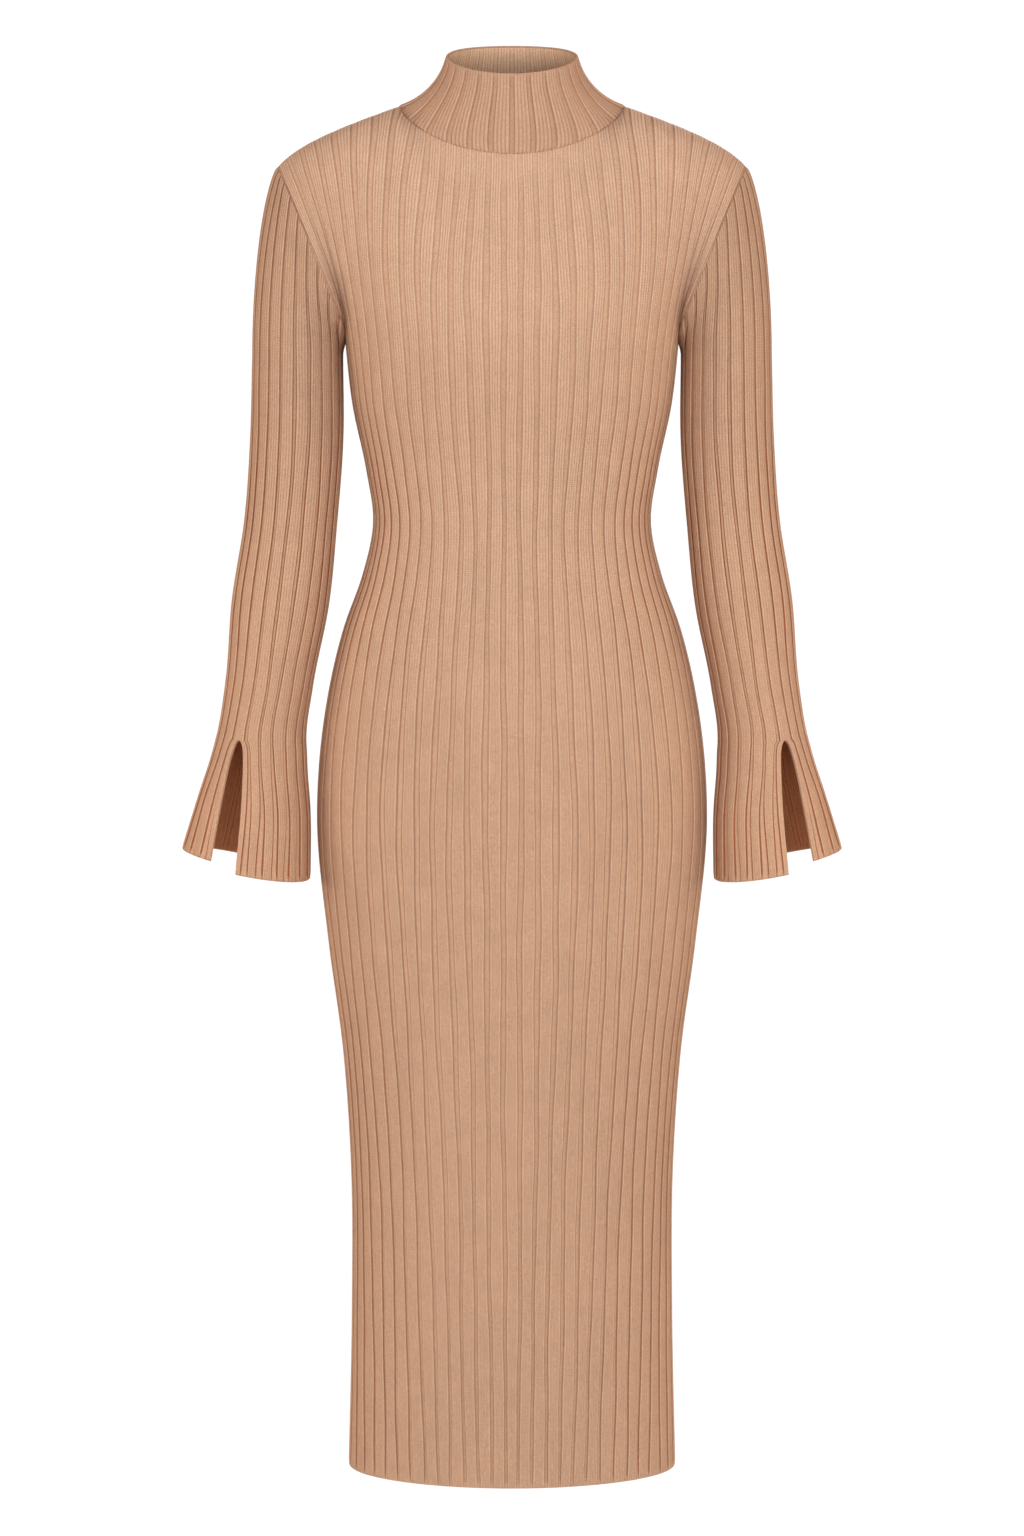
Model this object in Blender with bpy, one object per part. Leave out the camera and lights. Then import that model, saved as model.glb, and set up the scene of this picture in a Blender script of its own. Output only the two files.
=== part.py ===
"""Ribbed sweater dress, filled out as it hangs on a wearer, with nobody in it.

Five knitted pieces: a front and a back panel, two set-in sleeves with slit bell cuffs, and a standing
collar.  Each piece is a wall whose ribs are raised on its outside over a plain inside.

Units are metres.  +Z is up, +X is the wearer's left and -Y is the front.  The origin lies on the centre
line, level with the points where the collar meets the shoulder seams.
"""

import math
from typing import NamedTuple

import bmesh
import bpy
from mathutils import Vector

# ---------------------------------------------------------------- driving dimensions

SEAM_GAP = 0.0003      # pieces stop this far from each other at a seam
WALL = 0.0013          # thickness of the knit in the gutters
RIB_RISE = 0.0014      # how far a rib stands above the gutters

PANEL_RIBS = 29        # across the front, and across the back
NECK_RIBS = 15         # of those, how many end at the collar
SLEEVE_RIBS = 21       # round a sleeve
COLLAR_RIBS = 26       # round the collar

NECK_HALF_WIDTH = 0.093
NECK_POINT_Y = 0.008   # the neck points and shoulder seams lie just behind the middle
NECK_FRONT_Y = -0.078
NECK_FRONT_Z = -0.041
NECK_BACK_Y = 0.066
NECK_BACK_Z = 0.004
NECK_FRONT_ROUND = 1.4  # above 1, the front neckline is flatter in the middle than an ellipse

RIM_HALF_WIDTH = 0.0530
RIM_HALF_DEPTH = 0.0515
RIM_Y = -0.022
RIM_Z = 0.0375
RIM_TILT = 0.0134      # the rim is this much lower in front, and higher behind
RIM_SIDE_RISE = 0.0028  # and this much higher at its sides

SHOULDER_TIP = Vector((0.1935, 0.005, -0.0500))
SHOULDER_INNER_HANDLE = Vector((0.045, 0.0, -0.0160))
SHOULDER_OUTER_HANDLE = Vector((-0.0165, 0.0, 0.0200))

ARM_TILT = Vector((0.929, 0.0, -0.370))   # the way that the armhole's plane faces

YOKE_STEPS = (0.24, 0.46, 0.66, 0.84, 1.0)
CAP_STEPS = (1.0, 0.76, 0.50, 0.24)
COLLAR_STEPS = (0.0, 0.25, 0.5, 0.75, 1.0)

COLLAR_GUTTER = 0.26         # share of the pitch that a gutter takes
COLLAR_SEAM_SPREAD = -0.25   # below 0, ribs crowd towards the front and back at the seam
COLLAR_RIM_SPREAD = 0.05     # above 0, they crowd towards the sides at the rim

KNIT_COLOUR = (0.604, 0.352, 0.223, 1.0)
KNIT_ROUGHNESS = 0.85


class BodySection(NamedTuple):
    """One level section of the body, measured over the ribs."""

    height: float
    half_width: float
    front: float         # depth from the side seams to the front
    back: float          # depth from the side seams to the back
    centre_pitch: float  # from rib to rib at the middle of the front
    gutter: float        # share of the pitch that a gutter takes


BODY = (
    BodySection(-1.130, 0.1366, 0.098, 0.092, 0.0109, 0.22),
    BodySection(-1.000, 0.1338, 0.097, 0.094, 0.0117, 0.24),
    BodySection(-0.880, 0.1342, 0.096, 0.098, 0.0124, 0.27),
    BodySection(-0.780, 0.1408, 0.096, 0.106, 0.0133, 0.31),
    BodySection(-0.690, 0.1527, 0.098, 0.116, 0.0141, 0.34),
    BodySection(-0.585, 0.1620, 0.100, 0.124, 0.0146, 0.35),
    BodySection(-0.500, 0.1552, 0.099, 0.116, 0.0140, 0.34),
    BodySection(-0.430, 0.1396, 0.095, 0.096, 0.0131, 0.31),
    BodySection(-0.385, 0.1236, 0.091, 0.080, 0.0124, 0.29),
    BodySection(-0.342, 0.1150, 0.089, 0.073, 0.0121, 0.28),
    BodySection(-0.300, 0.1205, 0.092, 0.076, 0.0127, 0.30),
    BodySection(-0.245, 0.1320, 0.104, 0.086, 0.0136, 0.34),
    BodySection(-0.186, 0.1385, 0.112, 0.096, 0.0141, 0.36),
)


class SleeveSection(NamedTuple):
    """One section of the sleeve at +X, measured over the ribs."""

    height: float
    centre_x: float
    centre_y: float
    half_width: float
    half_depth: float
    outer_rise: float    # rise of the section's plane for each metre outward
    front_drop: float    # fall of the section's plane for each metre forward
    slit_angle: float    # degrees outward from the sleeve's front line to the slit
    slit_open: float     # degrees that the slit takes out of the section
    flap_lift: float     # how far the section bends up at the slit's outer edge
    gutter: float        # share of the pitch that a gutter takes


SLEEVE = (
    SleeveSection(-0.2050, 0.1772, 0.004, 0.0377, 0.048, 0.00, 0.00, 27.0, 0.0, 0.0, 0.22),
    SleeveSection(-0.2750, 0.1782, 0.003, 0.0387, 0.045, 0.00, 0.00, 27.0, 0.0, 0.0, 0.22),
    SleeveSection(-0.3420, 0.1832, 0.000, 0.0386, 0.042, 0.03, 0.00, 26.0, 0.0, 0.0, 0.22),
    SleeveSection(-0.4080, 0.1917, -0.003, 0.0403, 0.042, 0.06, 0.00, 25.0, 0.0, 0.0, 0.22),
    SleeveSection(-0.4750, 0.2010, -0.006, 0.0363, 0.040, 0.08, 0.01, 25.5, 0.0, 0.0, 0.22),
    SleeveSection(-0.5220, 0.2075, -0.008, 0.0373, 0.040, 0.10, 0.02, 28.0, 0.0, 0.0000, 0.24),
    SleeveSection(-0.5280, 0.2080, -0.008, 0.0382, 0.041, 0.11, 0.02, 27.6, 12.4, 0.0003, 0.25),
    SleeveSection(-0.5420, 0.2095, -0.009, 0.0402, 0.042, 0.12, 0.03, 26.8, 19.2, 0.0010, 0.27),
    SleeveSection(-0.5740, 0.2129, -0.010, 0.0460, 0.047, 0.16, 0.05, 23.8, 23.2, 0.0030, 0.37),
    SleeveSection(-0.6270, 0.2204, -0.012, 0.0535, 0.054, 0.20, 0.08, 19.6, 24.6, 0.0058, 0.50),
)


FLAP_REACH = 0.5       # share of the way round over which the slit's outer flap comes back down


class Station(NamedTuple):
    """A column of points that runs along a piece."""

    place: float         # in ribs from the piece's edge
    rise: float          # 1 on a rib, 0 in a gutter
    inside: bool         # whether the inside has a column here too


class Piece(NamedTuple):
    """Outside and inside points of a wall, in rows from its lower or first edge to its last."""

    outer: list
    inner: list
    inner_over: list     # for each inside column, the outside column that lies over it
    joined: list         # for each row, whether its last column is its first one again


# ---------------------------------------------------------------- curves


def bezier(points, place):
    """The point at place, from 0 to 1, on the cubic curve with these four control points."""
    a, b, c, d = points
    left = 1.0 - place
    return a * left**3 + b * (3 * left**2 * place) + c * (3 * left * place**2) + d * place**3


def ellipse_walker(half_width, depth, steps=120):
    """A function from a share of an ellipse's quarter, by length from its middle, to the angle there."""
    angles = [math.pi / 2 * step / steps for step in range(steps + 1)]
    lengths = [0.0]
    for before, after in zip(angles, angles[1:]):
        middle = (before + after) / 2
        stride = math.hypot(half_width * math.cos(middle), depth * math.sin(middle))
        lengths.append(lengths[-1] + stride * (after - before))

    def angle_at(share):
        wanted = min(share, 1.0) * lengths[-1]
        step = max(i for i in range(steps) if lengths[i] <= wanted + 1e-12)
        part = (wanted - lengths[step]) / (lengths[step + 1] - lengths[step])
        return angles[step] + part * (angles[step + 1] - angles[step])

    return angle_at, lengths[-1]


def neck_seam(turn):
    """The collar seam at an angle from the front: 0 in front, pi / 2 at +X, pi behind."""
    ahead = math.cos(turn)
    if ahead >= 0:
        depth = NECK_FRONT_Y - NECK_POINT_Y
        height = NECK_FRONT_Z * ahead**NECK_FRONT_ROUND
    else:
        depth = NECK_POINT_Y - NECK_BACK_Y
        height = NECK_BACK_Z * ahead**2
    return Vector((NECK_HALF_WIDTH * math.sin(turn), NECK_POINT_Y + depth * ahead, height))


def collar_curve(turn):
    """Control points of the collar's line at an angle from the front, from seam to rim."""
    ahead = math.cos(turn)
    aside = math.sin(turn)
    seam = neck_seam(turn)
    rim_height = RIM_Z - RIM_TILT * ahead + RIM_SIDE_RISE * aside**2
    rim = Vector((RIM_HALF_WIDTH * aside, RIM_Y - RIM_HALF_DEPTH * ahead, rim_height))
    inward, rise, flare = (0.002, 0.020, 0.002) if ahead >= 0 else (0.016, 0.012, 0.006)
    inward = inward * ahead**2 + 0.020 * aside**2
    rise = rise * ahead**2 + 0.006 * aside**2
    flare = flare * ahead**2 + 0.004 * aside**2
    outward = Vector((aside, -ahead, 0.0))
    return (
        seam,
        seam - outward * inward + Vector((0.0, 0.0, rise)),
        rim + outward * flare - Vector((0.0, 0.0, 0.020)),
        rim,
    )


def shoulder_seam(share):
    """The shoulder seam at +X, from the neck point at 0 to the shoulder tip at 1."""
    start = Vector((NECK_HALF_WIDTH, NECK_POINT_Y, 0.0))
    points = (start, start + SHOULDER_INNER_HANDLE, SHOULDER_TIP + SHOULDER_OUTER_HANDLE, SHOULDER_TIP)
    return bezier(points, share)


# ---------------------------------------------------------------- body panels


class PanelSide(NamedTuple):
    """What differs between the front and the back panel."""

    facing: float        # -1 in front, 1 behind
    neck_handle: Vector  # how a line leaves the neckline at the middle
    point_handle: Vector  # and at the neck point
    tip_handle: Vector   # and at the shoulder tip
    foot_handle: Vector  # how a line enters the yoke at the underarm level, in the middle
    foot_reach: float    # the same, its length at the neck points' lines
    arm_handle: Vector   # how the armhole starts at the underarm
    sleeve_gutters: tuple  # the sleeve's gutters that meet the yoke's rows, from the underarm up


FRONT = PanelSide(
    facing=-1.0,
    neck_handle=Vector((0.0, -0.010, -0.048)),
    point_handle=Vector((0.0, -0.076, 0.002)),
    tip_handle=Vector((-0.008, -0.050, -0.012)),
    foot_handle=Vector((0.0, -0.004, 0.049)),
    foot_reach=0.100,
    arm_handle=Vector((-0.002, -0.090, 0.0)),
    sleeve_gutters=(14, 15, 17, 19, 21, 24),
)
BACK = PanelSide(
    facing=1.0,
    neck_handle=Vector((0.0, 0.022, -0.045)),
    point_handle=Vector((0.0, 0.080, 0.006)),
    tip_handle=Vector((-0.008, 0.046, -0.012)),
    foot_handle=Vector((0.0, 0.006, 0.060)),
    foot_reach=0.104,
    arm_handle=Vector((-0.002, 0.086, 0.0)),
    sleeve_gutters=(14, 12, 10, 8, 6, 3),
)

NECK_SHARE = NECK_RIBS / PANEL_RIBS
ARMHOLE_PULL = 6       # how closely the lines beside the armhole follow it
FOOT_SPREAD = 0.20     # how far lines at the side lean outward above the underarm


def section_line(section, side):
    """A function from a place across a panel, -1 to 1, to the section's point there, under the ribs."""
    half_width = section.half_width - RIB_RISE
    depth = (section.front if side.facing < 0 else section.back) - RIB_RISE
    angle_at, quarter = ellipse_walker(half_width, depth)
    front_quarter = ellipse_walker(half_width, section.front - RIB_RISE)[1]
    spread = section.centre_pitch * PANEL_RIBS / 2 / front_quarter - 1.0

    def point_at(place):
        share = abs(place)
        angle = angle_at(share * (1.0 + spread) - spread * share**3)
        x = math.copysign(half_width * math.sin(angle), place)
        return Vector((x, side.facing * depth * math.cos(angle), section.height))

    return point_at


def yoke_curve(side, place):
    """Control points of the line above the underarm level at a place across a panel, -1 to 1."""
    share = abs(place)
    foot = section_line(BODY[-1], side)(share)
    if share <= NECK_SHARE:
        part = share / NECK_SHARE
        turn = math.asin(min(part, 1.0))
        top = neck_seam(turn if side.facing < 0 else math.pi - turn)
        middle = neck_seam(0.0 if side.facing < 0 else math.pi) + side.neck_handle
        below = middle.lerp(neck_seam(math.pi / 2) + side.point_handle, part**3)
        below.x = top.x
        reach = part**2
    else:
        part = (share - NECK_SHARE) / (1.0 - NECK_SHARE)
        top = shoulder_seam(part)
        below = top + side.point_handle.lerp(side.tip_handle, part**2)
        reach = 1.0
    length = side.foot_handle.z + (side.foot_reach - side.foot_handle.z) * reach
    lean = FOOT_SPREAD * foot.x / BODY[-1].half_width * length
    plain = Vector((lean, side.foot_handle.y, length))
    foot_handle = plain.lerp(side.arm_handle, share**ARMHOLE_PULL)
    points = [foot, foot + foot_handle, below, top]
    if place < 0:
        points = [mirrored(point) for point in points]
    return points


def mirrored(point):
    """The point on the other side of the centre plane."""
    return Vector((-point.x, point.y, point.z))


def panel_row(side, row):
    """A function from a place across a panel to its ground point on a row: sections, then yoke steps."""
    if row < len(BODY):
        return section_line(BODY[row], side)
    step = YOKE_STEPS[row - len(BODY)]
    return lambda place: bezier(yoke_curve(side, place), step)


def on_armhole(ribs):
    """The sleeve's end of the armhole seam at +X, at a place round the sleeve in ribs from the slit. It
    runs straight between the yoke's rows, and each row meets one of the sleeve's gutters."""
    tip = BACK.sleeve_gutters[-1] + 0.5
    ribs = ribs if ribs >= tip else ribs + SLEEVE_RIBS
    side = BACK if ribs <= BACK.sleeve_gutters[0] + 0.5 else FRONT
    steps = (0.0,) + YOKE_STEPS
    for after in range(1, len(steps)):
        low, high = (side.sleeve_gutters[row] + 0.5 for row in (after - 1, after))
        if min(low, high) <= ribs <= max(low, high):
            break
    ends = [bezier(yoke_curve(side, 1.0), steps[row]) for row in (after - 1, after)]
    return ends[0].lerp(ends[1], (ribs - low) / (high - low))


def turned_clear(normal, tilt):
    """The normal, turned if need be so that a wall that ends at a plane stays behind its tilt."""
    return (normal - tilt * min(normal.dot(tilt), 0.0)).normalized()


def neck_outward(turn):
    """The way that the walls' thickness runs at an angle of the collar seam, between body and collar."""
    along = (neck_seam(turn + 0.01) - neck_seam(turn - 0.01)).normalized()
    side = FRONT if math.cos(turn) >= 0 else BACK
    aside = math.sin(turn)
    shoulder = Vector((math.copysign(SHOULDER_INNER_HANDLE.x, aside), 0.0, SHOULDER_INNER_HANDLE.z))
    body_up = -side.neck_handle.lerp(shoulder, aside**2)
    seam, above = collar_curve(turn)[:2]
    body = along.cross(body_up).normalized()
    collar = along.cross(above - seam).normalized()
    return (body + collar).normalized()


def neck_corners():
    """Angles where the collar seam bends: wherever the inside of a panel has a column."""
    stations = panel_stations(BODY[-1].gutter)
    places = [station.place - PANEL_RIBS / 2 for station in stations if station.inside]
    parts = [2.0 * place / NECK_RIBS for place in places if abs(place) <= NECK_RIBS / 2]
    ahead = [math.asin(part) for part in parts]
    behind = [math.pi - turn for turn in reversed(ahead[:-1])]
    return ahead + behind


def on_neck_seam(turn, corners):
    """At an angle of the collar seam, which runs straight between its corners: its point, the way that
    the walls' thickness runs and the way into the collar."""
    turn = (turn - corners[0]) % (2 * math.pi) + corners[0]
    after = next(i for i, corner in enumerate(corners) if corner >= turn - 1e-9)
    after = max(after, 1)
    low, high = corners[after - 1], corners[after]
    part = (turn - low) / (high - low)
    ends = neck_seam(low), neck_seam(high)
    outward = neck_outward(low).lerp(neck_outward(high), part)
    return ends[0].lerp(ends[1], part), outward, outward.cross(ends[1] - ends[0]).normalized()


# ---------------------------------------------------------------- walls


def grid_normals(rows, joined, facing):
    """Unit normals of a grid of points. They follow row x column, times facing."""
    last_row = len(rows) - 1
    last = len(rows[0]) - 1
    normals = []
    for i, row in enumerate(rows):
        up = [rows[min(i + 1, last_row)][j] - rows[max(i - 1, 0)][j] for j in range(last + 1)]
        line = []
        for j in range(last + 1):
            before = row[last - 1] if joined[i] and j == 0 else row[max(j - 1, 0)]
            after = row[1] if joined[i] and j == last else row[min(j + 1, last)]
            line.append((after - before).cross(up[j]).normalized() * facing)
        normals.append(line)
    return normals


def wall(rows, normals, rises, inner_over, joined):
    """A piece whose outside is the ground raised at its ribs, and whose inside lies under the gutters."""
    outer = [
        [point + normal * RIB_RISE * rise for point, normal, rise in zip(row, line, lifts)]
        for row, line, lifts in zip(rows, normals, rises)
    ]
    inner = [
        [row[column] - line[column] * WALL for column in inner_over]
        for row, line in zip(rows, normals)
    ]
    return Piece(outer, inner, inner_over, joined)


def add_skin(mesh, grid, joined):
    """Adds a grid's points and faces to a mesh, and returns its vertices in rows."""
    rows = []
    for line, closes in zip(grid, joined):
        made = [mesh.verts.new(point) for point in (line[:-1] if closes else line)]
        rows.append(made + made[:1] if closes else made)
    for low, high in zip(rows, rows[1:]):
        for j in range(len(low) - 1):
            mesh.faces.new((low[j], low[j + 1], high[j + 1], high[j]))
    return rows


def build_piece(name, piece, collection):
    """Makes the object of a piece: both skins, and the edges that close them to one another."""
    mesh = bmesh.new()
    outer = add_skin(mesh, piece.outer, piece.joined)
    inner = add_skin(mesh, piece.inner, piece.joined)
    for outside, inside in ((outer[0], inner[0]), (outer[-1], inner[-1])):
        for j in range(len(inside) - 1):
            over = outside[piece.inner_over[j]:piece.inner_over[j + 1] + 1]
            mesh.faces.new(over + [inside[j + 1], inside[j]])
    for i, (closes, next_closes) in enumerate(zip(piece.joined, piece.joined[1:])):
        if closes and next_closes:
            continue
        for end in (0, -1):
            mesh.faces.new((outer[i][end], outer[i + 1][end], inner[i + 1][end], inner[i][end]))
    bmesh.ops.recalc_face_normals(mesh, faces=mesh.faces)

    data = bpy.data.meshes.new(name)
    mesh.to_mesh(data)
    mesh.free()
    data.shade_smooth()
    data.set_sharp_from_angle(angle=math.radians(35.0))
    data.materials.append(knit_material(name + "_knit"))
    collection.objects.link(bpy.data.objects.new(name, data))


def knit_material(name):
    """A matt knit in camel."""
    material = bpy.data.materials.new(name)
    material.use_nodes = True
    shader = material.node_tree.nodes["Principled BSDF"]
    shader.inputs["Base Color"].default_value = KNIT_COLOUR
    shader.inputs["Roughness"].default_value = KNIT_ROUGHNESS
    shader.inputs["Metallic"].default_value = 0.0
    return material


# ---------------------------------------------------------------- pieces


def rib_stations(count, gutter, lined=()):
    """Stations across ribs that lie side by side: a gutter's middle, then the two edges of the rib beside
    it, and the last gutter's middle. The inside has columns under gutters. The ribs named in lined have a
    column along their middle as well, and the inside has them all."""
    stations = []
    for rib in range(count):
        stations.append(Station(rib, 0.0, True))
        stations.append(Station(rib + gutter / 2, 1.0, rib in lined))
        if rib in lined:
            stations.append(Station(rib + 0.5, 1.0, True))
        stations.append(Station(rib + 1 - gutter / 2, 1.0, rib in lined))
    return stations + [Station(count, 0.0, True)]


def panel_stations(gutter):
    """Stations across a panel. The ribs that end beside the neck points run far along the collar seam."""
    corner_rib = (PANEL_RIBS - NECK_RIBS) // 2
    return rib_stations(PANEL_RIBS, gutter, (corner_rib, PANEL_RIBS - 1 - corner_rib))


def make_panel(side, corners):
    """The front or the back panel."""
    count = len(BODY) + len(YOKE_STEPS)
    underarm = len(BODY) - 1
    rows = []
    rises = []
    for i in range(count):
        line = panel_row(side, i)
        stations = panel_stations(BODY[min(i, underarm)].gutter)
        rows.append([line(2.0 * station.place / PANEL_RIBS - 1.0) for station in stations])
        rises.append([station.rise for station in stations])
    rises[underarm] = [
        rise if 1 < station.place < PANEL_RIBS - 1 else 0.0
        for station, rise in zip(stations, rises[underarm])
    ]
    joined = [False] * count
    normals = grid_normals(rows, joined, -side.facing)

    half_gap = Vector((0.0, side.facing * SEAM_GAP / 2, 0.0))
    inboard = ARM_TILT * (-SEAM_GAP / 2)
    for i in range(count):
        for end, shift in ((0, mirrored(inboard)), (-1, inboard)):
            if i <= underarm:
                normals[i][end] = in_seam_plane(normals[i][end])
                rows[i][end] += half_gap
            if i >= underarm:
                rows[i][end] += shift
                normals[i][end] = turned_clear(normals[i][end], -shift.normalized())
    for j, station in enumerate(stations):
        place = station.place - PANEL_RIBS / 2
        if abs(place) >= NECK_RIBS / 2:
            normals[-1][j] = in_seam_plane(normals[-1][j])
            rows[-1][j] += half_gap
        if abs(place) <= NECK_RIBS / 2:
            turn = math.asin(2.0 * place / NECK_RIBS)
            turn = turn if side.facing < 0 else math.pi - turn
            seam, normals[-1][j], across = on_neck_seam(turn, corners)
            rows[-1][j] += seam - neck_seam(turn) - across * (SEAM_GAP / 2)
    inner_over = [j for j, station in enumerate(stations) if station.inside]
    return wall(rows, normals, rises, inner_over, joined)


def in_seam_plane(normal):
    """The normal turned into the plane of the side and shoulder seams, where front and back meet."""
    return Vector((normal.x, 0.0, normal.z)).normalized()


def make_collar(corners):
    """The collar, from its seam up to its rim. It starts and ends at the front."""
    stations = rib_stations(COLLAR_RIBS, COLLAR_GUTTER, (COLLAR_RIBS // 4, COLLAR_RIBS * 3 // 4))
    rows = []
    for step in COLLAR_STEPS:
        turns = [collar_turn(station.place / COLLAR_RIBS, step) for station in stations]
        rows.append([bezier(collar_curve(turn), step) for turn in turns])
    joined = [True] * len(rows)
    normals = grid_normals(rows, joined, 1.0)
    for j, station in enumerate(stations):
        turn = collar_turn(station.place / COLLAR_RIBS, 0.0)
        seam, normals[0][j], across = on_neck_seam(turn, corners)
        rows[0][j] = seam + across * (SEAM_GAP / 2)
    rises = [[station.rise for station in stations]] * len(rows)
    inner_over = [j for j, station in enumerate(stations) if station.inside]
    return wall(rows, normals, rises, inner_over, joined)


def collar_turn(place, step):
    """The angle from the front at a place round the collar, 0 to 1, and a step from its seam to its rim."""
    spread = COLLAR_SEAM_SPREAD * (1.0 - step) + COLLAR_RIM_SPREAD * step
    quarter, part = divmod(4.0 * place, 1.0)
    share = part if quarter % 2 == 0 else 1.0 - part
    share = share * (1.0 + spread) - spread * share**3
    return math.pi / 2 * (quarter + share if quarter % 2 == 0 else quarter + 1.0 - share)


def sleeve_point(section, place):
    """The section's point, under the ribs, at a place round the sleeve: 0 and 1 are the slit's edges."""
    degrees = section.slit_angle + section.slit_open / 2 + (360.0 - section.slit_open) * place
    turn = math.radians(degrees)
    across = (section.half_width - RIB_RISE) * math.sin(turn)
    ahead = (section.half_depth - RIB_RISE) * math.cos(turn)
    height = section.height + section.outer_rise * across - section.front_drop * ahead
    from_flap = min(place / FLAP_REACH, 1.0)
    height += section.flap_lift * (1.0 - from_flap**2 * (3.0 - 2.0 * from_flap))
    return Vector((section.centre_x + across, section.centre_y - ahead, height))


def cap_curve(place):
    """Control points of the sleeve's line from the armhole to the first section."""
    foot = sleeve_point(SLEEVE[0], place)
    turn = (SLEEVE[0].slit_angle + 360.0 * place + 90.0) % 360.0
    side = FRONT if turn <= 180.0 else BACK
    rise = turn / 180.0 if turn <= 180.0 else (360.0 - turn) / 180.0
    seam = on_armhole(SLEEVE_RIBS * place)
    reach = (foot - seam).length
    forward = side.facing * 0.12 * math.sin(math.pi * rise)
    away = Vector((0.60 * rise**3, forward, -1.0)).normalized()
    return (
        seam,
        seam + away * reach * (0.33 - 0.20 * rise**3),
        foot + Vector((0.0, 0.0, reach * (0.33 + 0.10 * rise**3))),
        foot,
    )


def sleeve_stations(gutter):
    """Stations round a sleeve, from one edge of the slit to the other. The slit halves a rib."""
    stations = [Station(0.0, 1.0, True)]
    for rib in range(SLEEVE_RIBS):
        middle = rib + 0.5
        stations.append(Station(middle - gutter / 2, 1.0, False))
        stations.append(Station(middle, 0.0, True))
        stations.append(Station(middle + gutter / 2, 1.0, False))
    return stations + [Station(SLEEVE_RIBS, 1.0, True)]


def make_sleeve():
    """The sleeve at +X, from its armhole down to its cuff. It starts and ends at the slit."""
    count = len(CAP_STEPS) + len(SLEEVE)
    rows = []
    rises = []
    joined = []
    for i in range(count):
        section = SLEEVE[max(i - len(CAP_STEPS), 0)]
        stations = sleeve_stations(section.gutter)
        places = [station.place / SLEEVE_RIBS for station in stations]
        if i < len(CAP_STEPS):
            rows.append([bezier(cap_curve(place), 1.0 - CAP_STEPS[i]) for place in places])
        else:
            rows.append([sleeve_point(section, place) for place in places])
        rises.append([station.rise for station in stations])
        joined.append(section.slit_open == 0.0)
    rises[0] = [0.0] * len(stations)
    normals = grid_normals(rows, joined, -1.0)
    normals[0] = [turned_clear(normal, -ARM_TILT) for normal in normals[0]]
    rows[0] = [point + ARM_TILT * (SEAM_GAP / 2) for point in rows[0]]
    inner_over = [j for j, station in enumerate(stations) if station.inside]
    return wall(rows, normals, rises, inner_over, joined)


def mirrored_piece(piece):
    """The same piece for the other side of the body."""
    outer = [[mirrored(point) for point in row] for row in piece.outer]
    inner = [[mirrored(point) for point in row] for row in piece.inner]
    return Piece(outer, inner, piece.inner_over, piece.joined)


def main():
    """Clears the scene and builds the five pieces."""
    for existing in list(bpy.data.objects):
        bpy.data.objects.remove(existing, do_unlink=True)
    dress = bpy.data.collections.new("sweater_dress")
    bpy.context.scene.collection.children.link(dress)

    corners = neck_corners()
    sleeve = make_sleeve()
    build_piece("front", make_panel(FRONT, corners), dress)
    build_piece("back", make_panel(BACK, corners), dress)
    build_piece("sleeve_left", sleeve, dress)
    build_piece("sleeve_right", mirrored_piece(sleeve), dress)
    build_piece("collar", make_collar(corners), dress)


main()
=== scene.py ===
"""Looks of the ribbed sweater dress: its knitted pieces, its seams and the studio it hangs in.

Units are metres in the part's frame: +Z is up, +X the wearer's left, -Y the front, and the origin lies on
the centre line, level with the points where the collar meets the shoulder seams.
"""

import logging
import math
from dataclasses import dataclass, field, replace
from enum import Enum
from typing import Any, Sequence

import bmesh
import bpy
import numpy as np
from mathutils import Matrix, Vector


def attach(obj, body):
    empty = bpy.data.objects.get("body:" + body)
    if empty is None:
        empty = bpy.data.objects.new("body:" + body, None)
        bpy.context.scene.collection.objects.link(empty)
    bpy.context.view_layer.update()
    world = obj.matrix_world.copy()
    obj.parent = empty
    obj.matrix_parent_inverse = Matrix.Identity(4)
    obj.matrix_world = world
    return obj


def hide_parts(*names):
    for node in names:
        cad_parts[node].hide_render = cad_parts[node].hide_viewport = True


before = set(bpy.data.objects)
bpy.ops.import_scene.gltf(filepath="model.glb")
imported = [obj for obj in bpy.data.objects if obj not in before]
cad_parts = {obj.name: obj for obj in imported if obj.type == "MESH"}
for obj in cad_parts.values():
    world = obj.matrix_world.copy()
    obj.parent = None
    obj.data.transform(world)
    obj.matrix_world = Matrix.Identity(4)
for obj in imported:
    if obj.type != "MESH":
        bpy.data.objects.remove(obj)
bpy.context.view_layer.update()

Array = np.ndarray
Colour = tuple[float, float, float]

LOG = logging.getLogger("sweater_dress")

SEAM_GAP = 0.0001      # pieces stop this far from each other at a seam
WALL = 0.0013          # thickness of the knit in the gutters
RIB_RISE = 0.0014      # how far a rib stands above the gutters
GUTTER = 0.30          # share of a rib's unit of the knit map that is gutter

DRIFTS = (             # each wave of the ribs' drift: its size in ribs, rate, lean and turn
    (0.050, 14.0, 1.3, 1.0),
    (0.034, 33.0, -2.1, 2.0),
    (0.018, 71.0, 3.7, 3.0),
)
RIM_TURNS = (35.0, 70.0, 105.0, 145.0)   # degrees at which a free edge's rounding has its rows
SHARP_ANGLE = 70.0                       # degrees above which an edge of a mesh is sharp
EASING_REACH = 7                         # rows on each side of the underarm level that are eased
EASING_PASSES = 18


# ---------------------------------------------------------------- curves and tables


def unit(vectors: Array) -> Array:
    """The vectors at length 1."""
    return vectors / np.maximum(np.linalg.norm(vectors, axis=-1, keepdims=True), 1e-12)


def bell(distance: Array, width: float) -> Array:
    """1 at distance 0, fading to nearly 0 at twice the width."""
    return np.exp(-((distance / width) ** 2))


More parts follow.
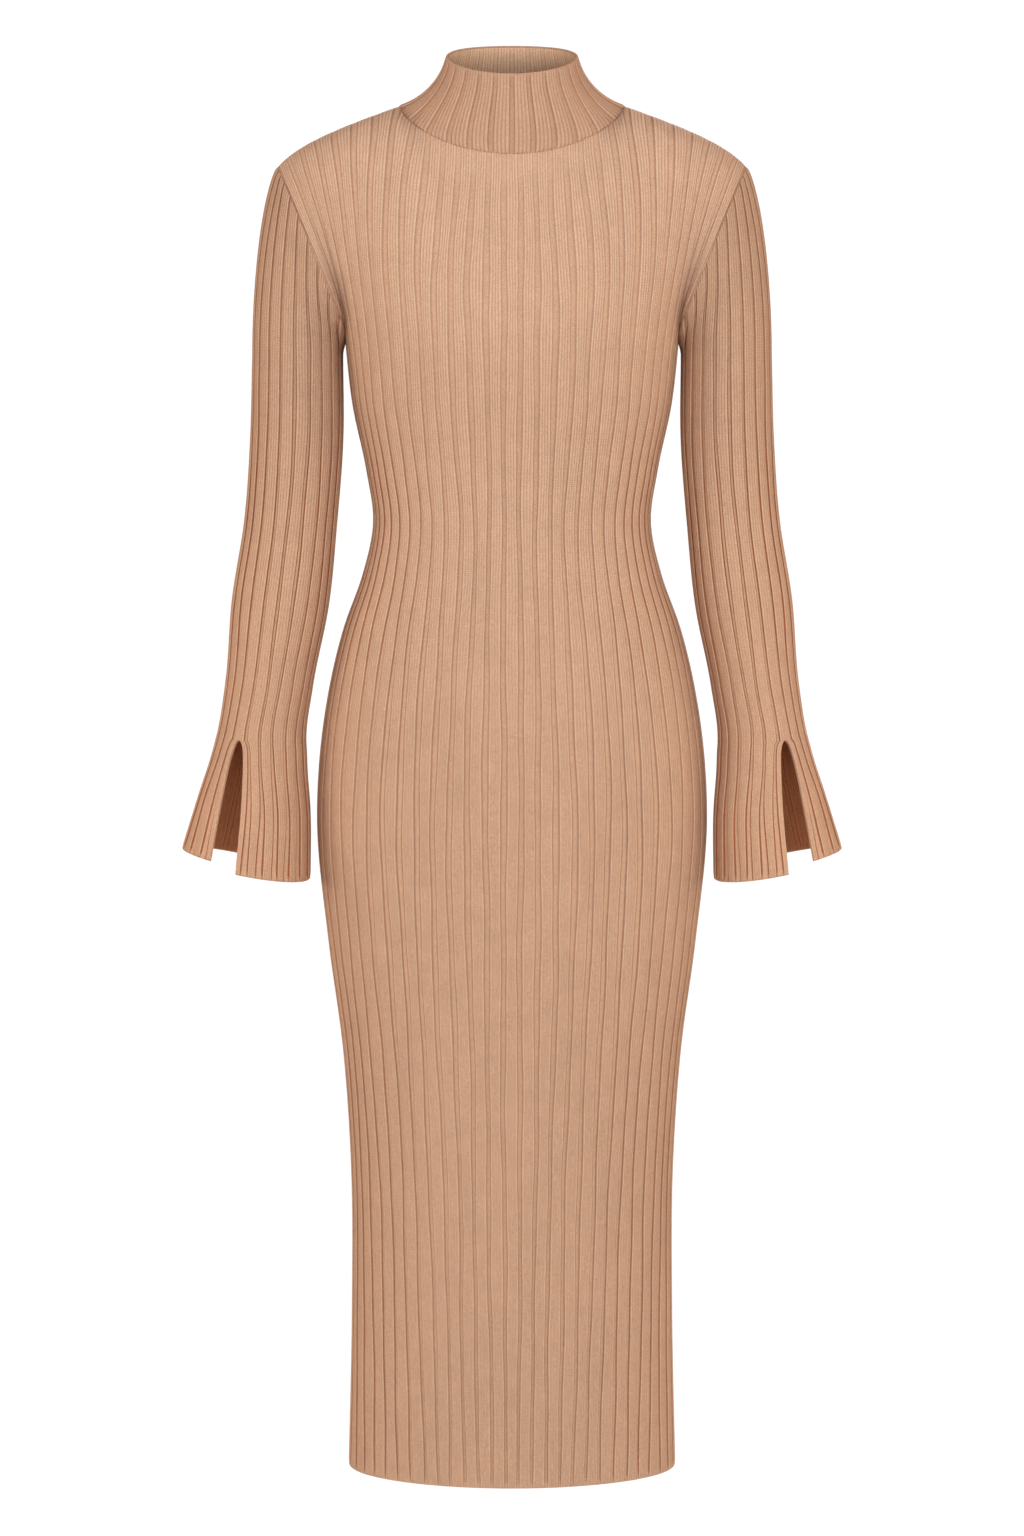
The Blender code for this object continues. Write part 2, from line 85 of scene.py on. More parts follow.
def ease(value: Array, low: float, high: float) -> Array:
    """0 up to low, 1 from high, and a smooth step between them."""
    share = np.clip((value - low) / (high - low), 0.0, 1.0)
    return share * share * (3.0 - 2.0 * share)


def bezier(points: Sequence[Array], share: Array) -> Array:
    """Points on cubic curves.

    Args:
        points: four arrays of control points, each of shape (..., 3).
        share: how far along, 0 to 1, of a shape that broadcasts with theirs.

    Returns:
        The points, one for each share.
    """
    share = np.asarray(share, dtype=float)
    left = 1.0 - share
    weights = (left**3, 3 * left**2 * share, 3 * left * share**2, share**3)
    return sum(weight[..., None] * point for weight, point in zip(weights, points))


def smooth_table(knots: Sequence[float], values: Array, places: Array) -> Array:
    """A smooth curve through a table's rows.

    Args:
        knots: where the rows stand, rising.
        values: the rows, of shape (knots, columns).
        places: where to read the curve.

    Returns:
        One row for each place.
    """
    knots = np.asarray(knots, dtype=float)
    values = np.asarray(values, dtype=float)
    steps = np.diff(knots)[:, None]
    rates = np.diff(values, axis=0) / steps
    inner = (rates[:-1] * steps[1:] + rates[1:] * steps[:-1]) / (steps[1:] + steps[:-1])
    slopes = np.concatenate([rates[:1], inner, rates[-1:]])
    low = np.clip(np.searchsorted(knots, places, side="right") - 1, 0, len(knots) - 2)
    step = steps[low]
    part = (np.asarray(places)[:, None] - knots[low][:, None]) / step
    return (
        values[low] * (2 * part**3 - 3 * part**2 + 1)
        + slopes[low] * step * (part**3 - 2 * part**2 + part)
        + values[low + 1] * (3 * part**2 - 2 * part**3)
        + slopes[low + 1] * step * (part**3 - part**2)
    )


def lengths_along(points: Array, axis: int) -> Array:
    """How far along a grid of points each one lies, from the first row or column."""
    spans = np.linalg.norm(np.diff(points, axis=axis), axis=-1)
    start = np.zeros_like(np.take(spans, [0], axis=axis))
    return np.concatenate([start, np.cumsum(spans, axis=axis)], axis=axis)


def mean_run(points: Array) -> Array:
    """How far along the cloth each row of a grid lies, as the mean of its columns."""
    spans = np.linalg.norm(np.diff(points, axis=0), axis=-1)
    return np.concatenate([[0.0], np.cumsum(spans.mean(1))])


def wandered(ground: Array, places: Array, distance: Array, fade: float, phase: float) -> Array:
    """A ground whose columns drift a little sideways, as hand-hung ribs do.

    Args:
        ground: points, of shape (rows, columns, 3).
        places: the columns' places in ribs, for each row, rising.
        distance: how far along the cloth each row lies.
        fade: over what length the drift grows from nothing at the first row.
        phase: a number that sets this piece's drift apart.

    Returns:
        The drifted points.
    """
    made = ground.copy()
    for row, (line, place, run) in enumerate(zip(ground, places, distance)):
        drift = sum(
            size * np.sin(run * rate + place * lean + phase * turn) for size, rate, lean, turn in DRIFTS
        )
        inside = np.minimum(place - place[0], place[-1] - place)
        drift = drift * ease(inside, 0.0, 1.5) * ease(run, 0.0, fade)
        for axis in range(3):
            made[row, :, axis] = np.interp(place + drift, place, line[:, axis])
    return made


def quarter_angles(half_width: float, depth: float, shares: Array) -> Array:
    """Angles on an ellipse's quarter at shares of its length, from the middle of its front."""
    angles = np.linspace(0.0, math.pi / 2, 181)
    middles = (angles[1:] + angles[:-1]) / 2
    strides = np.hypot(half_width * np.cos(middles), depth * np.sin(middles))
    lengths = np.concatenate([[0.0], np.cumsum(strides)])
    return np.interp(shares, lengths / lengths[-1], angles)


def quarter_length(half_width: float, depth: float) -> float:
    """The length of an ellipse's quarter."""
    angles = (np.arange(180) + 0.5) * math.pi / 360
    strides = np.hypot(half_width * np.cos(angles), depth * np.sin(angles))
    return float(strides.sum() * math.pi / 360)


# ---------------------------------------------------------------- ribs


@dataclass(frozen=True)
class RibProfile:
    """The relief across one rib, from the middle of one gutter to the middle of the next.

    Places in the profile are warped so that the gutter always takes the same share of a unit.
    """

    places: tuple[float, ...] = (0.0, 0.112, 0.140, 0.168, 0.225, 0.34, 0.5)
    rises: tuple[float, ...] = (0.0, 0.01, 0.42, 0.80, 0.96, 1.0, 0.97)

    def columns(self, start: float, count: int, ends: Sequence[float] = ()) -> Array:
        """Warped places of a piece's columns.

        Args:
            start: where the first column stands in its unit.
            count: how many ribs wide the piece is.
            ends: extra columns, at these distances from both ends.

        Returns:
            The places, rising from start to start + count.
        """
        half = np.array(self.places)
        whole = np.concatenate([half, 1.0 - half[-2:0:-1]])
        every = (np.arange(count + 1)[:, None] + whole[None, :]).ravel()
        extra = [start + end for end in ends] + [start + count - end for end in ends]
        every = np.concatenate([every, extra, [start, start + count]])
        every = np.unique(np.round(every, 6))
        return every[(every >= start) & (every <= start + count)]

    def rise(self, warped: Array) -> Array:
        """How far the relief stands up at warped places, 0 to 1."""
        share = np.abs(warped - np.round(warped))
        return np.interp(share, self.places, self.rises)

    def true_place(self, warped: Array, gutter: Array) -> Array:
        """Places in ribs, for warped places and the share of the pitch that gutters take there."""
        whole = np.floor(warped)
        part = warped - whole
        side = np.where(part > 0.5, 1.0 - part, part)
        flat = side * gutter / GUTTER
        raised = gutter / 2 + (side - GUTTER / 2) * (1.0 - gutter) / (1.0 - GUTTER)
        near = np.where(side < GUTTER / 2, flat, raised)
        return whole + np.where(part > 0.5, 1.0 - near, near)


RIBS = RibProfile()


@dataclass
class Wall:
    """A piece of knitted cloth: a ground surface with ribs raised on its outside.

    The rows of its grids run from the piece's first seam to its free edge, and the columns across its
    ribs.
    """

    name: str
    ground: Array                # points under the ribs, of shape (rows, columns, 3)
    warped: Array                # the columns' warped places
    core: tuple[float, float]    # a plan point inside the piece, to tell out from in
    open_rows: Array             # for each row, whether its ends aren't joined
    edge_fill: float = 0.7       # how far gutters close towards the free edge
    relief: Array | float = 1.0  # how much of its relief the cloth keeps, where it is stretched
    normals: Array = field(init=False)
    from_start: Array = field(init=False)
    to_edge: Array = field(init=False)
    to_seam: Array = field(init=False)

    def __post_init__(self) -> None:
        """Works out the normals and the distances to the free edge."""
        self.normals = self.ground_normals()
        self.from_start = lengths_along(self.ground, 0)
        self.to_edge = self.from_start[-1] - self.from_start
        self.to_seam = self.from_start.copy()

    def ground_normals(self) -> Array:
        """Unit normals of the ground, facing out."""
        along = np.gradient(self.ground, axis=0)
        across = np.gradient(self.ground, axis=1)
        wrapped = (self.ground[:, 1] - self.ground[:, -2]) / 2
        joined = ~self.open_rows
        across[joined, 0] = wrapped[joined]
        across[joined, -1] = wrapped[joined]
        along_ends = (along[:, 0] + along[:, -1]) / 2
        along[joined, 0] = along_ends[joined]
        along[joined, -1] = along_ends[joined]
        normals = unit(np.cross(along, across))
        out = self.ground[..., :2] - np.array(self.core)
        return normals * np.sign(np.sum(normals[..., :2] * out))

    def turn_row(self, row: int, columns: Array, target: Array, reach: float = 0.006) -> None:
        """Turns the normals of a row to a seam's, and of the rows near it part of the way.

        Args:
            row: the seam's row, 0 or -1.
            columns: which columns it holds for.
            target: the seam's normals, one for each of those columns.
            reach: how far from the seam the turn has faded.
        """
        place = self.from_start[:, columns]
        weight = 1.0 - ease(np.abs(place - place[row]), 0.0, reach)
        mixed = self.normals[:, columns] * (1.0 - weight[..., None]) + target[None] * weight[..., None]
        self.normals[:, columns] = unit(mixed)

    def build(self, finish: "KnitFinish", inside_finish: "KnitFinish") -> bpy.types.Object:
        """Makes the piece's object.

        Args:
            finish: the knit that dresses it outside.
            inside_finish: the knit's look inside, which carries painted shade in the sleeves and painted
                light in the collar.

        Returns:
            The object, with its maps and its materials.
        """
        seam = bell(self.to_seam, 0.0014)
        edge = bell(self.to_edge, 0.0022)
        rise = RIBS.rise(self.warped)[None, :] * (1.0 - 0.5 * seam) * self.relief
        rise = rise + (self.edge_fill - rise) * edge
        lift = RIB_RISE * rise - 0.0001 * seam
        outer = self.ground + self.normals * lift[..., None]
        inner = self.ground - self.normals * WALL
        knit = np.stack(np.broadcast_arrays(self.warped[None, :], self.from_start.mean(1)[:, None]), -1)
        outer, knit, edge, seam = self.with_rim(outer, inner, knit, edge, seam)
        opened = np.concatenate([self.open_rows, np.repeat(self.open_rows[-1:], len(outer) - len(inner))])
        part = self.warped - np.floor(self.warped)
        under = np.flatnonzero((part == 0.0) | (part == 0.5))
        piece = self.assemble(outer, inner, knit, np.stack([edge, seam], -1), opened, under)
        for each in (finish, inside_finish):
            piece.data.materials.append(each.material())
        return piece

    def with_rim(
        self, outer: Array, inner: Array, knit: Array, edge: Array, seam: Array
    ) -> tuple[Array, Array, Array, Array]:
        """Adds the rows that round the free edge over from outside to inside.

        Args:
            outer: the outside's points.
            inner: the inside's points.
            knit: the knit map at the outside's points.
            edge: closeness to the free edge there.
            seam: closeness to a seam there.

        Returns:
            The outside's points, its knit map and both closenesses, with the new rows.
        """
        middle = (outer[-1] + inner[-1]) / 2
        half = (outer[-1] - inner[-1]) / 2
        depth = np.linalg.norm(half, axis=-1, keepdims=True)
        away = unit(self.ground[-1] - self.ground[-2])
        rim = [
            middle + half * math.cos(turn) + away * depth * math.sin(turn) for turn in np.radians(RIM_TURNS)
        ]
        added = len(RIM_TURNS)
        steps = np.arange(1, added + 1)[:, None, None] * np.array([0.0, 0.0008])
        return (
            np.concatenate([outer, rim]),
            np.concatenate([knit, knit[-1:] + steps]),
            np.concatenate([edge, np.repeat(edge[-1:], added, axis=0)]),
            np.concatenate([seam, np.repeat(seam[-1:], added, axis=0)]),
        )

    def assemble(
        self, outer: Array, inner: Array, knit: Array, marks: Array, opened: Array, under: Array
    ) -> bpy.types.Object:
        """Joins both skins into one closed mesh.

        Args:
            outer: the outside's points.
            inner: the inside's points, which has the outside's rows without its rim.
            knit: the knit map at the outside's points.
            marks: closeness to the free edge and to a seam there.
            opened: for each row, whether its ends aren't joined.
            under: the outside's columns under which the inside has one.

        Returns:
            The object.
        """
        rows, columns = outer.shape[:2]
        out_index = np.arange(rows * columns).reshape(rows, columns)
        in_rows = len(inner)
        in_index = np.arange(in_rows * len(under)).reshape(in_rows, len(under)) + rows * columns
        out_spot = out_index.copy()
        in_spot = out_spot[:in_rows][:, under]
        out_index[~opened, -1] = out_index[~opened, 0]
        in_index[~opened[:in_rows], -1] = in_index[~opened[:in_rows], 0]

        faces: list[list[int]] = []
        spots: list[list[int]] = []
        for index, spot in ((out_index, out_spot), (in_index, in_spot)):
            for grid, store in ((index, faces), (spot, spots)):
                quads = np.stack([grid[:-1, :-1], grid[:-1, 1:], grid[1:, 1:], grid[1:, :-1]], -1)
                store.extend(quads.reshape(-1, 4).tolist())
        skins = ((faces, out_index, in_index), (spots, out_spot, in_spot))
        for out_row, in_row in ((0, 0), (-1, -1)):
            for j in range(len(under) - 1):
                over = range(under[j], under[j + 1] + 1)
                pair = (j + 1, j)
                for store, top, base in skins:
                    store.append([int(top[out_row, c]) for c in over] + [int(base[in_row, c]) for c in pair])
        for i in range(rows - 1):
            if not (opened[i] or opened[i + 1]):
                continue
            low, high = min(i, in_rows - 1), min(i + 1, in_rows - 1)
            for end in (0, -1):
                for store, top, base in skins:
                    ring = [top[i, end], top[i + 1, end], base[high, end], base[low, end]]
                    store.append([int(each) for each in (ring[:3] if low == high else ring)])

        points = np.concatenate([outer.reshape(-1, 3), inner[:, under].reshape(-1, 3)])
        data = bpy.data.meshes.new(self.name)
        data.from_pydata(points.tolist(), [], faces)
        slots = np.zeros(len(faces), dtype=np.int32)
        outside = (rows - 1) * (columns - 1)
        slots[outside:outside + (in_rows - 1) * (len(under) - 1)] = 1
        data.polygons.foreach_set("material_index", slots)
        order = np.concatenate([np.asarray(spot) for spot in spots])
        for label, values in (("knit", knit), ("marks", marks)):
            layer = data.uv_layers.new(name=label)
            layer.data.foreach_set("uv", values.reshape(-1, 2)[order].ravel().astype(np.float32))
        mesh = bmesh.new()
        mesh.from_mesh(data)
        loose = [vert for vert in mesh.verts if not vert.link_faces]
        bmesh.ops.delete(mesh, geom=loose, context="VERTS")
        bmesh.ops.recalc_face_normals(mesh, faces=mesh.faces)
        mesh.to_mesh(data)
        mesh.free()
        data.shade_smooth()
        data.set_sharp_from_angle(angle=math.radians(SHARP_ANGLE))
        piece = bpy.data.objects.new(self.name, data)
        bpy.context.scene.collection.objects.link(piece)
        return piece

    def area(self) -> float:
        """The ground's area in square metres."""
        along = np.diff(self.ground, axis=0)[:, :-1]
        across = np.diff(self.ground, axis=1)[:-1]
        return float(np.linalg.norm(np.cross(along, across), axis=-1).sum())


# ---------------------------------------------------------------- shader graph


class Value:
    """A shader socket that carries one number, for use in expressions."""

    def __init__(self, graph: "NodeGraph", socket: bpy.types.NodeSocket) -> None:
        """Wraps a socket of the graph."""
        self.graph = graph
        self.socket = socket

    def math(self, operation: str, *others: Any) -> "Value":
        """The result of a Math node on this value and others."""
        inputs = dict(enumerate((self, *others)))
        return self.graph.value("ShaderNodeMath", {"operation": operation}, inputs)

    def flipped(self, operation: str, other: float) -> "Value":
        """The result of a Math node whose first value is the other one."""
        return self.graph.value("ShaderNodeMath", {"operation": operation}, {0: other, 1: self})

    def __add__(self, other: Any) -> "Value":
        """Sum."""
        return self.math("ADD", other)

    __radd__ = __add__

    def __sub__(self, other: Any) -> "Value":
        """Difference."""
        return self.math("SUBTRACT", other)

    def __rsub__(self, other: float) -> "Value":
        """Difference from a number."""
        return self.flipped("SUBTRACT", other)

    def __mul__(self, other: Any) -> "Value":
        """Product."""
        return self.math("MULTIPLY", other)

    __rmul__ = __mul__

    def __truediv__(self, other: Any) -> "Value":
        """Quotient."""
        return self.math("DIVIDE", other)

    def __rtruediv__(self, other: float) -> "Value":
        """Quotient of a number."""
        return self.flipped("DIVIDE", other)

    def __pow__(self, other: Any) -> "Value":
        """Power."""
        return self.math("POWER", other)

    def fraction(self) -> "Value":
        """The part after the decimal point."""
        return self.math("FRACT")

    def size(self) -> "Value":
        """The absolute value."""
        return self.math("ABSOLUTE")

    def sine(self) -> "Value":
        """The sine."""
        return self.math("SINE")

    def ease(self, low: float, high: float) -> "Value":
        """A smooth step from 0 at low to 1 at high. It falls where low is above high."""
        if low > high:
            return 1.0 - self.ease(high, low)
        settings = {"interpolation_type": "SMOOTHSTEP"}
        return self.graph.value("ShaderNodeMapRange", settings, {0: self, 1: low, 2: high})


class NodeGraph:
    """A material's or a world's node tree."""

    def __init__(self, tree: bpy.types.NodeTree) -> None:
        """Empties the tree."""
        self.tree = tree
        tree.nodes.clear()

    def node(self, kind: str, settings: dict[str, Any], inputs: dict[Any, Any]) -> bpy.types.Node:
        """Adds a node.

        Args:
            kind: the node's type.
            settings: its properties, which are set first.
            inputs: numbers, colours, values or sockets for its inputs, by name or by index.

        Returns:
            The node.
        """
        made = self.tree.nodes.new(kind)
        for name, setting in settings.items():
            setattr(made, name, setting)
        for name, source in inputs.items():
            target = made.inputs[name]
            if isinstance(source, Value):
                source = source.socket
            if isinstance(source, bpy.types.NodeSocket):
                self.tree.links.new(source, target)
            else:
                target.default_value = source
        return made

    def value(self, kind: str, settings: dict[str, Any], inputs: dict[Any, Any], output: Any = 0) -> Value:
        """Adds a node and wraps one of its outputs."""
        return Value(self, self.node(kind, settings, inputs).outputs[output])

    def blend(self, first: Any, second: Any, share: Any) -> bpy.types.NodeSocket:
        """A colour between two colours, which may be sockets."""
        first, second = (
            (*each, 1.0) if isinstance(each, tuple) and len(each) == 3 else each for each in (first, second)
        )
        mixed = self.node("ShaderNodeMix", {"data_type": "RGBA"}, {0: share, 6: first, 7: second})
        return mixed.outputs[2]

    def scaled(self, vector: Any, factor: Any) -> bpy.types.NodeSocket:
        """A vector or a colour times a number."""
        made = self.node("ShaderNodeVectorMath", {"operation": "SCALE"}, {0: vector, "Scale": factor})
        return made.outputs[0]

    def parted(self, vector: Any) -> tuple[Value, Value, Value]:
        """The three numbers of a vector."""
        made = self.node("ShaderNodeSeparateXYZ", {}, {0: vector})
        return tuple(Value(self, socket) for socket in made.outputs)

    def noise(self, vector: Any, scale: float, detail: float = 2.0) -> Value:
        """Soft noise, 0 to 1."""
        return self.value("ShaderNodeTexNoise", {}, {"Vector": vector, "Scale": scale, "Detail": detail})


@dataclass(frozen=True)
class KnitFinish:
    """A fine wide-rib knit in camel melange: wales of small stitches on its ribs, purl in its gutters, with
    painted highlights and painted shade over both.
    """

    name: str
    yarn: Colour = (0.600, 0.356, 0.236)     # the rib's own colour
    crown: Colour = (0.760, 0.508, 0.370)    # painted highlight along the middle of each wale and on the rib's shoulder
    shade: Colour = (0.396, 0.194, 0.110)    # painted shade between wales, between rows of stitches and between the gutter's beads
    purl: Colour = (0.642, 0.391, 0.264)     # the gutter's stitches
    depth: Colour = (0.285, 0.080, 0.024)    # painted shade at the foot of a rib and along a seam
    wales: int = 4
    course: float = 0.00170
    roughness: float = 0.90
    gloss: float = 0.02
    cuffed: float = 0.0      # 1 on a sleeve, whose painted shade lines are deeper, most on the cuff, and whose knit is painted darker at the top and paler towards the cuff

    def toned(self, tone: Colour) -> "KnitFinish":
        """The same knit with its colours times a tone."""
        names = ("yarn", "crown", "shade", "purl", "depth")
        return replace(
            self,
            **{name: tuple(min(a * b, 0.97) for a, b in zip(getattr(self, name), tone)) for name in names},
        )

    def material(self) -> bpy.types.Material:
        """The knit's material, made once.

        Returns:
            The material of this finish's name.
        """
        made = bpy.data.materials.get(self.name)
        if made is not None:
            return made
        made = bpy.data.materials.new(self.name)
        made.use_nodes = True
        graph = NodeGraph(made.node_tree)
        across, along, _ = graph.parted(graph.node("ShaderNodeUVMap", {"uv_map": "knit"}, {}).outputs[0])
        edge, seam, _ = graph.parted(graph.node("ShaderNodeUVMap", {"uv_map": "marks"}, {}).outputs[0])
        place = graph.node("ShaderNodeTexCoord", {}, {}).outputs["Object"]

        slow = graph.noise(place, 9.0, 1.0)
        cloud = graph.noise(place, 60.0, 2.0)
        fibre = graph.noise(place, 720.0, 3.0)
        wander = (graph.noise(place, 35.0, 1.0) - 0.5) * 0.010

        part = (across + wander).fraction()
        aside = (part - 0.5).size() * 2.0
        on_rib = aside.ease(1.0 - GUTTER + 0.05, 1.0 - GUTTER - 0.02)
        # Painted shade line along the foot of each rib
        foot = (aside - 0.735).size().ease(0.108, 0.030)
        # Where light catches each rib's shoulder, for the painted highlight there
        shoulder = (aside - 0.610).size().ease(0.085, 0.020)
        sideways, _, height = graph.parted(place)
        stretched = height.ease(-0.62, -0.20)
        drawn = height.ease(-0.34, -0.17)
        # Painted shade: the lines at the rib feet darken towards the sides of the dress, most at the waist
        # and low on the skirt
        side_shade_by_height = (height + 0.36).size().ease(0.15, 0.04) * 0.30 + height.ease(-0.60, -0.85) * 0.18 + 0.10
        side_shade = sideways.size().ease(0.055, 0.105) * side_shade_by_height

        wale = ((part - GUTTER / 2) * (self.wales / (1.0 - GUTTER))).fraction()
        from_crown = (wale - 0.5).size() * 2.0
        ridge = from_crown.ease(1.00, 0.25)
        stitch = (along / self.course + from_crown * 0.42).fraction()
        loop = ((stitch - 0.5).size() * 2.0).ease(0.05, 0.75)

        bead_side = (across * (math.pi * 2 * 7) + (fibre - 0.5) * 5.0).sine()
        bead_up = ((along / self.course) * (math.pi * 2) + (cloud - 0.5) * 6.0).sine()
        bead = (bead_side * bead_up) * 0.5 + 0.5

        # Painted highlight along the middle of each wale and painted shade between wales, stronger high on
        # the dress
        wales = 0.20 + stretched * 0.90
        knitted = graph.blend(self.yarn, self.shade, (1.0 - ridge) * wales * 0.45)
        knitted = graph.blend(knitted, self.crown, ridge * loop * wales * 0.50)
        # Painted shade between rows of stitches, stronger low on the dress
        knitted = graph.blend(knitted, self.shade, (1.0 - loop) * (1.0 - stretched) * 0.25)
        # Painted highlight on each rib's shoulder
        knitted = graph.blend(knitted, self.crown, shoulder * 0.60)
        # Painted shade between the purl beads in the gutters
        purled = graph.blend(self.shade, self.purl, 0.62 + bead * 0.38)
        colour = graph.blend(purled, knitted, on_rib)
        # How strong the painted shade lines at the rib feet are: lighter across the chest, deeper near and on
        # the collar, towards the sides, on the sleeves and most on the cuffs
        cuff = height.ease(-0.44, -0.60)
        neck = height.ease(-0.04, 0.00)
        line = 0.40 - drawn * 0.18 + neck * 0.14 + side_shade + self.cuffed * (0.12 + drawn * 0.18 + cuff * 0.26)
        colour = graph.blend(colour, self.depth, foot * line)
        colour = graph.blend(colour, self.yarn, edge * 0.5)
        # Painted shade along the seams
        colour = graph.blend(colour, self.depth, seam * 0.04)
        tone = 1.0 + (fibre - 0.5) * 0.62 + (cloud - 0.5) * 0.14 + (slow - 0.5) * 0.10
        # Painted shade and light on a sleeve: its knit darker at the top and paler towards the cuff
        tone = tone + self.cuffed * (height.ease(-0.10, -0.60) * 0.22 - 0.10)
        colour = graph.scaled(colour, tone)

        stitches = on_rib * (ridge * 0.7 + loop * ridge * 0.35) + (1.0 - on_rib) * bead * 0.45
        bump = graph.node(
            "ShaderNodeBump", {}, {"Strength": 0.75, "Distance": 0.00045, "Height": stitches + fibre * 0.5}
        )
        shader = graph.node(
            "ShaderNodeBsdfPrincipled",
            {},
            {
                "Base Color": colour,
                "Roughness": self.roughness + (fibre - 0.5) * 0.12,
                "Specular IOR Level": self.gloss,
                "Normal": bump.outputs[0],
            },
        )
        graph.node("ShaderNodeOutputMaterial", {}, {"Surface": shader.outputs[0]})
        return made


# ---------------------------------------------------------------- the dress


@dataclass(frozen=True)
class FlatCut:
    """A piece's cut, laid flat."""

    width: float     # at its widest, all round on a tube
    length: float
    area: float

    def dress(self, piece: bpy.types.Object, node: str, cloth: float) -> None:
        """Hangs a piece of cloth on the root body, hides the solid that it replaces and logs it.

        Args:
            piece: the piece.
            node: the solid that it replaces.
            cloth: the area that its ground measures, for the log.
        """
        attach(piece, "root")
        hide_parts(node)
        LOG.info("%s: %d faces, cloth %.4f m2", piece.name, len(piece.data.polygons), cloth)


class Side(Enum):
    """The panels of the body. The value is the way that they face along Y."""

    FRONT = -1.0
    BACK = 1.0


class Hand(Enum):
    """The sleeves. The value is the side of the centre plane, by the wearer's own left and right."""

    LEFT = 1.0
    RIGHT = -1.0


@dataclass(frozen=True)
class Neckline:
    """The seam between the body and the collar."""

    half_width: float = 0.093
    point_y: float = 0.008
    front_y: float = -0.078
    front_z: float = -0.041
    back_y: float = 0.066
    back_z: float = 0.004
    front_round: float = 1.4

    def seam(self, turn: Array) -> Array:
        """Points of the seam at angles from the front: 0 in front, pi / 2 at +X, pi behind."""
        turn = np.asarray(turn, dtype=float)
        ahead = np.cos(turn)
        depth = np.where(ahead >= 0, self.front_y - self.point_y, self.point_y - self.back_y)
        in_front = self.front_z * np.abs(ahead) ** self.front_round
        height = np.where(ahead >= 0, in_front, self.back_z * ahead**2)
        return np.stack([self.half_width * np.sin(turn), self.point_y + depth * ahead, height], -1)


@dataclass(frozen=True)
class Shoulder:
    """The shoulder seam at +X, from the neck point to the shoulder tip."""

    tip: tuple[float, float, float] = (0.1935, 0.005, -0.0500)
    inner_handle: tuple[float, float, float] = (0.045, 0.0, -0.0160)
    outer_handle: tuple[float, float, float] = (-0.0165, 0.0, 0.0200)

    def seam(self, start: Array, share: Array) -> Array:
        """Points of the seam at shares of its way from start, the neck point, to the tip."""
        tip = np.array(self.tip)
        points = (start, start + self.inner_handle, tip + self.outer_handle, tip)
        return bezier(points, share)


@dataclass(frozen=True)
class Yoke:
    """How the lines of a panel run above the underarm level."""

    neck_handle: tuple[float, float, float]
    point_handle: tuple[float, float, float]
    tip_handle: tuple[float, float, float]
    foot_handle: tuple[float, float, float]
    foot_reach: float
    arm_handle: tuple[float, float, float]
    sleeve_gutters: tuple[int, ...]


@dataclass(frozen=True)
class BodySection:
    """One level section of the body, measured over the ribs."""

    height: float
    half_width: float
    front: float
    back: float
    centre_pitch: float
    gutter: float


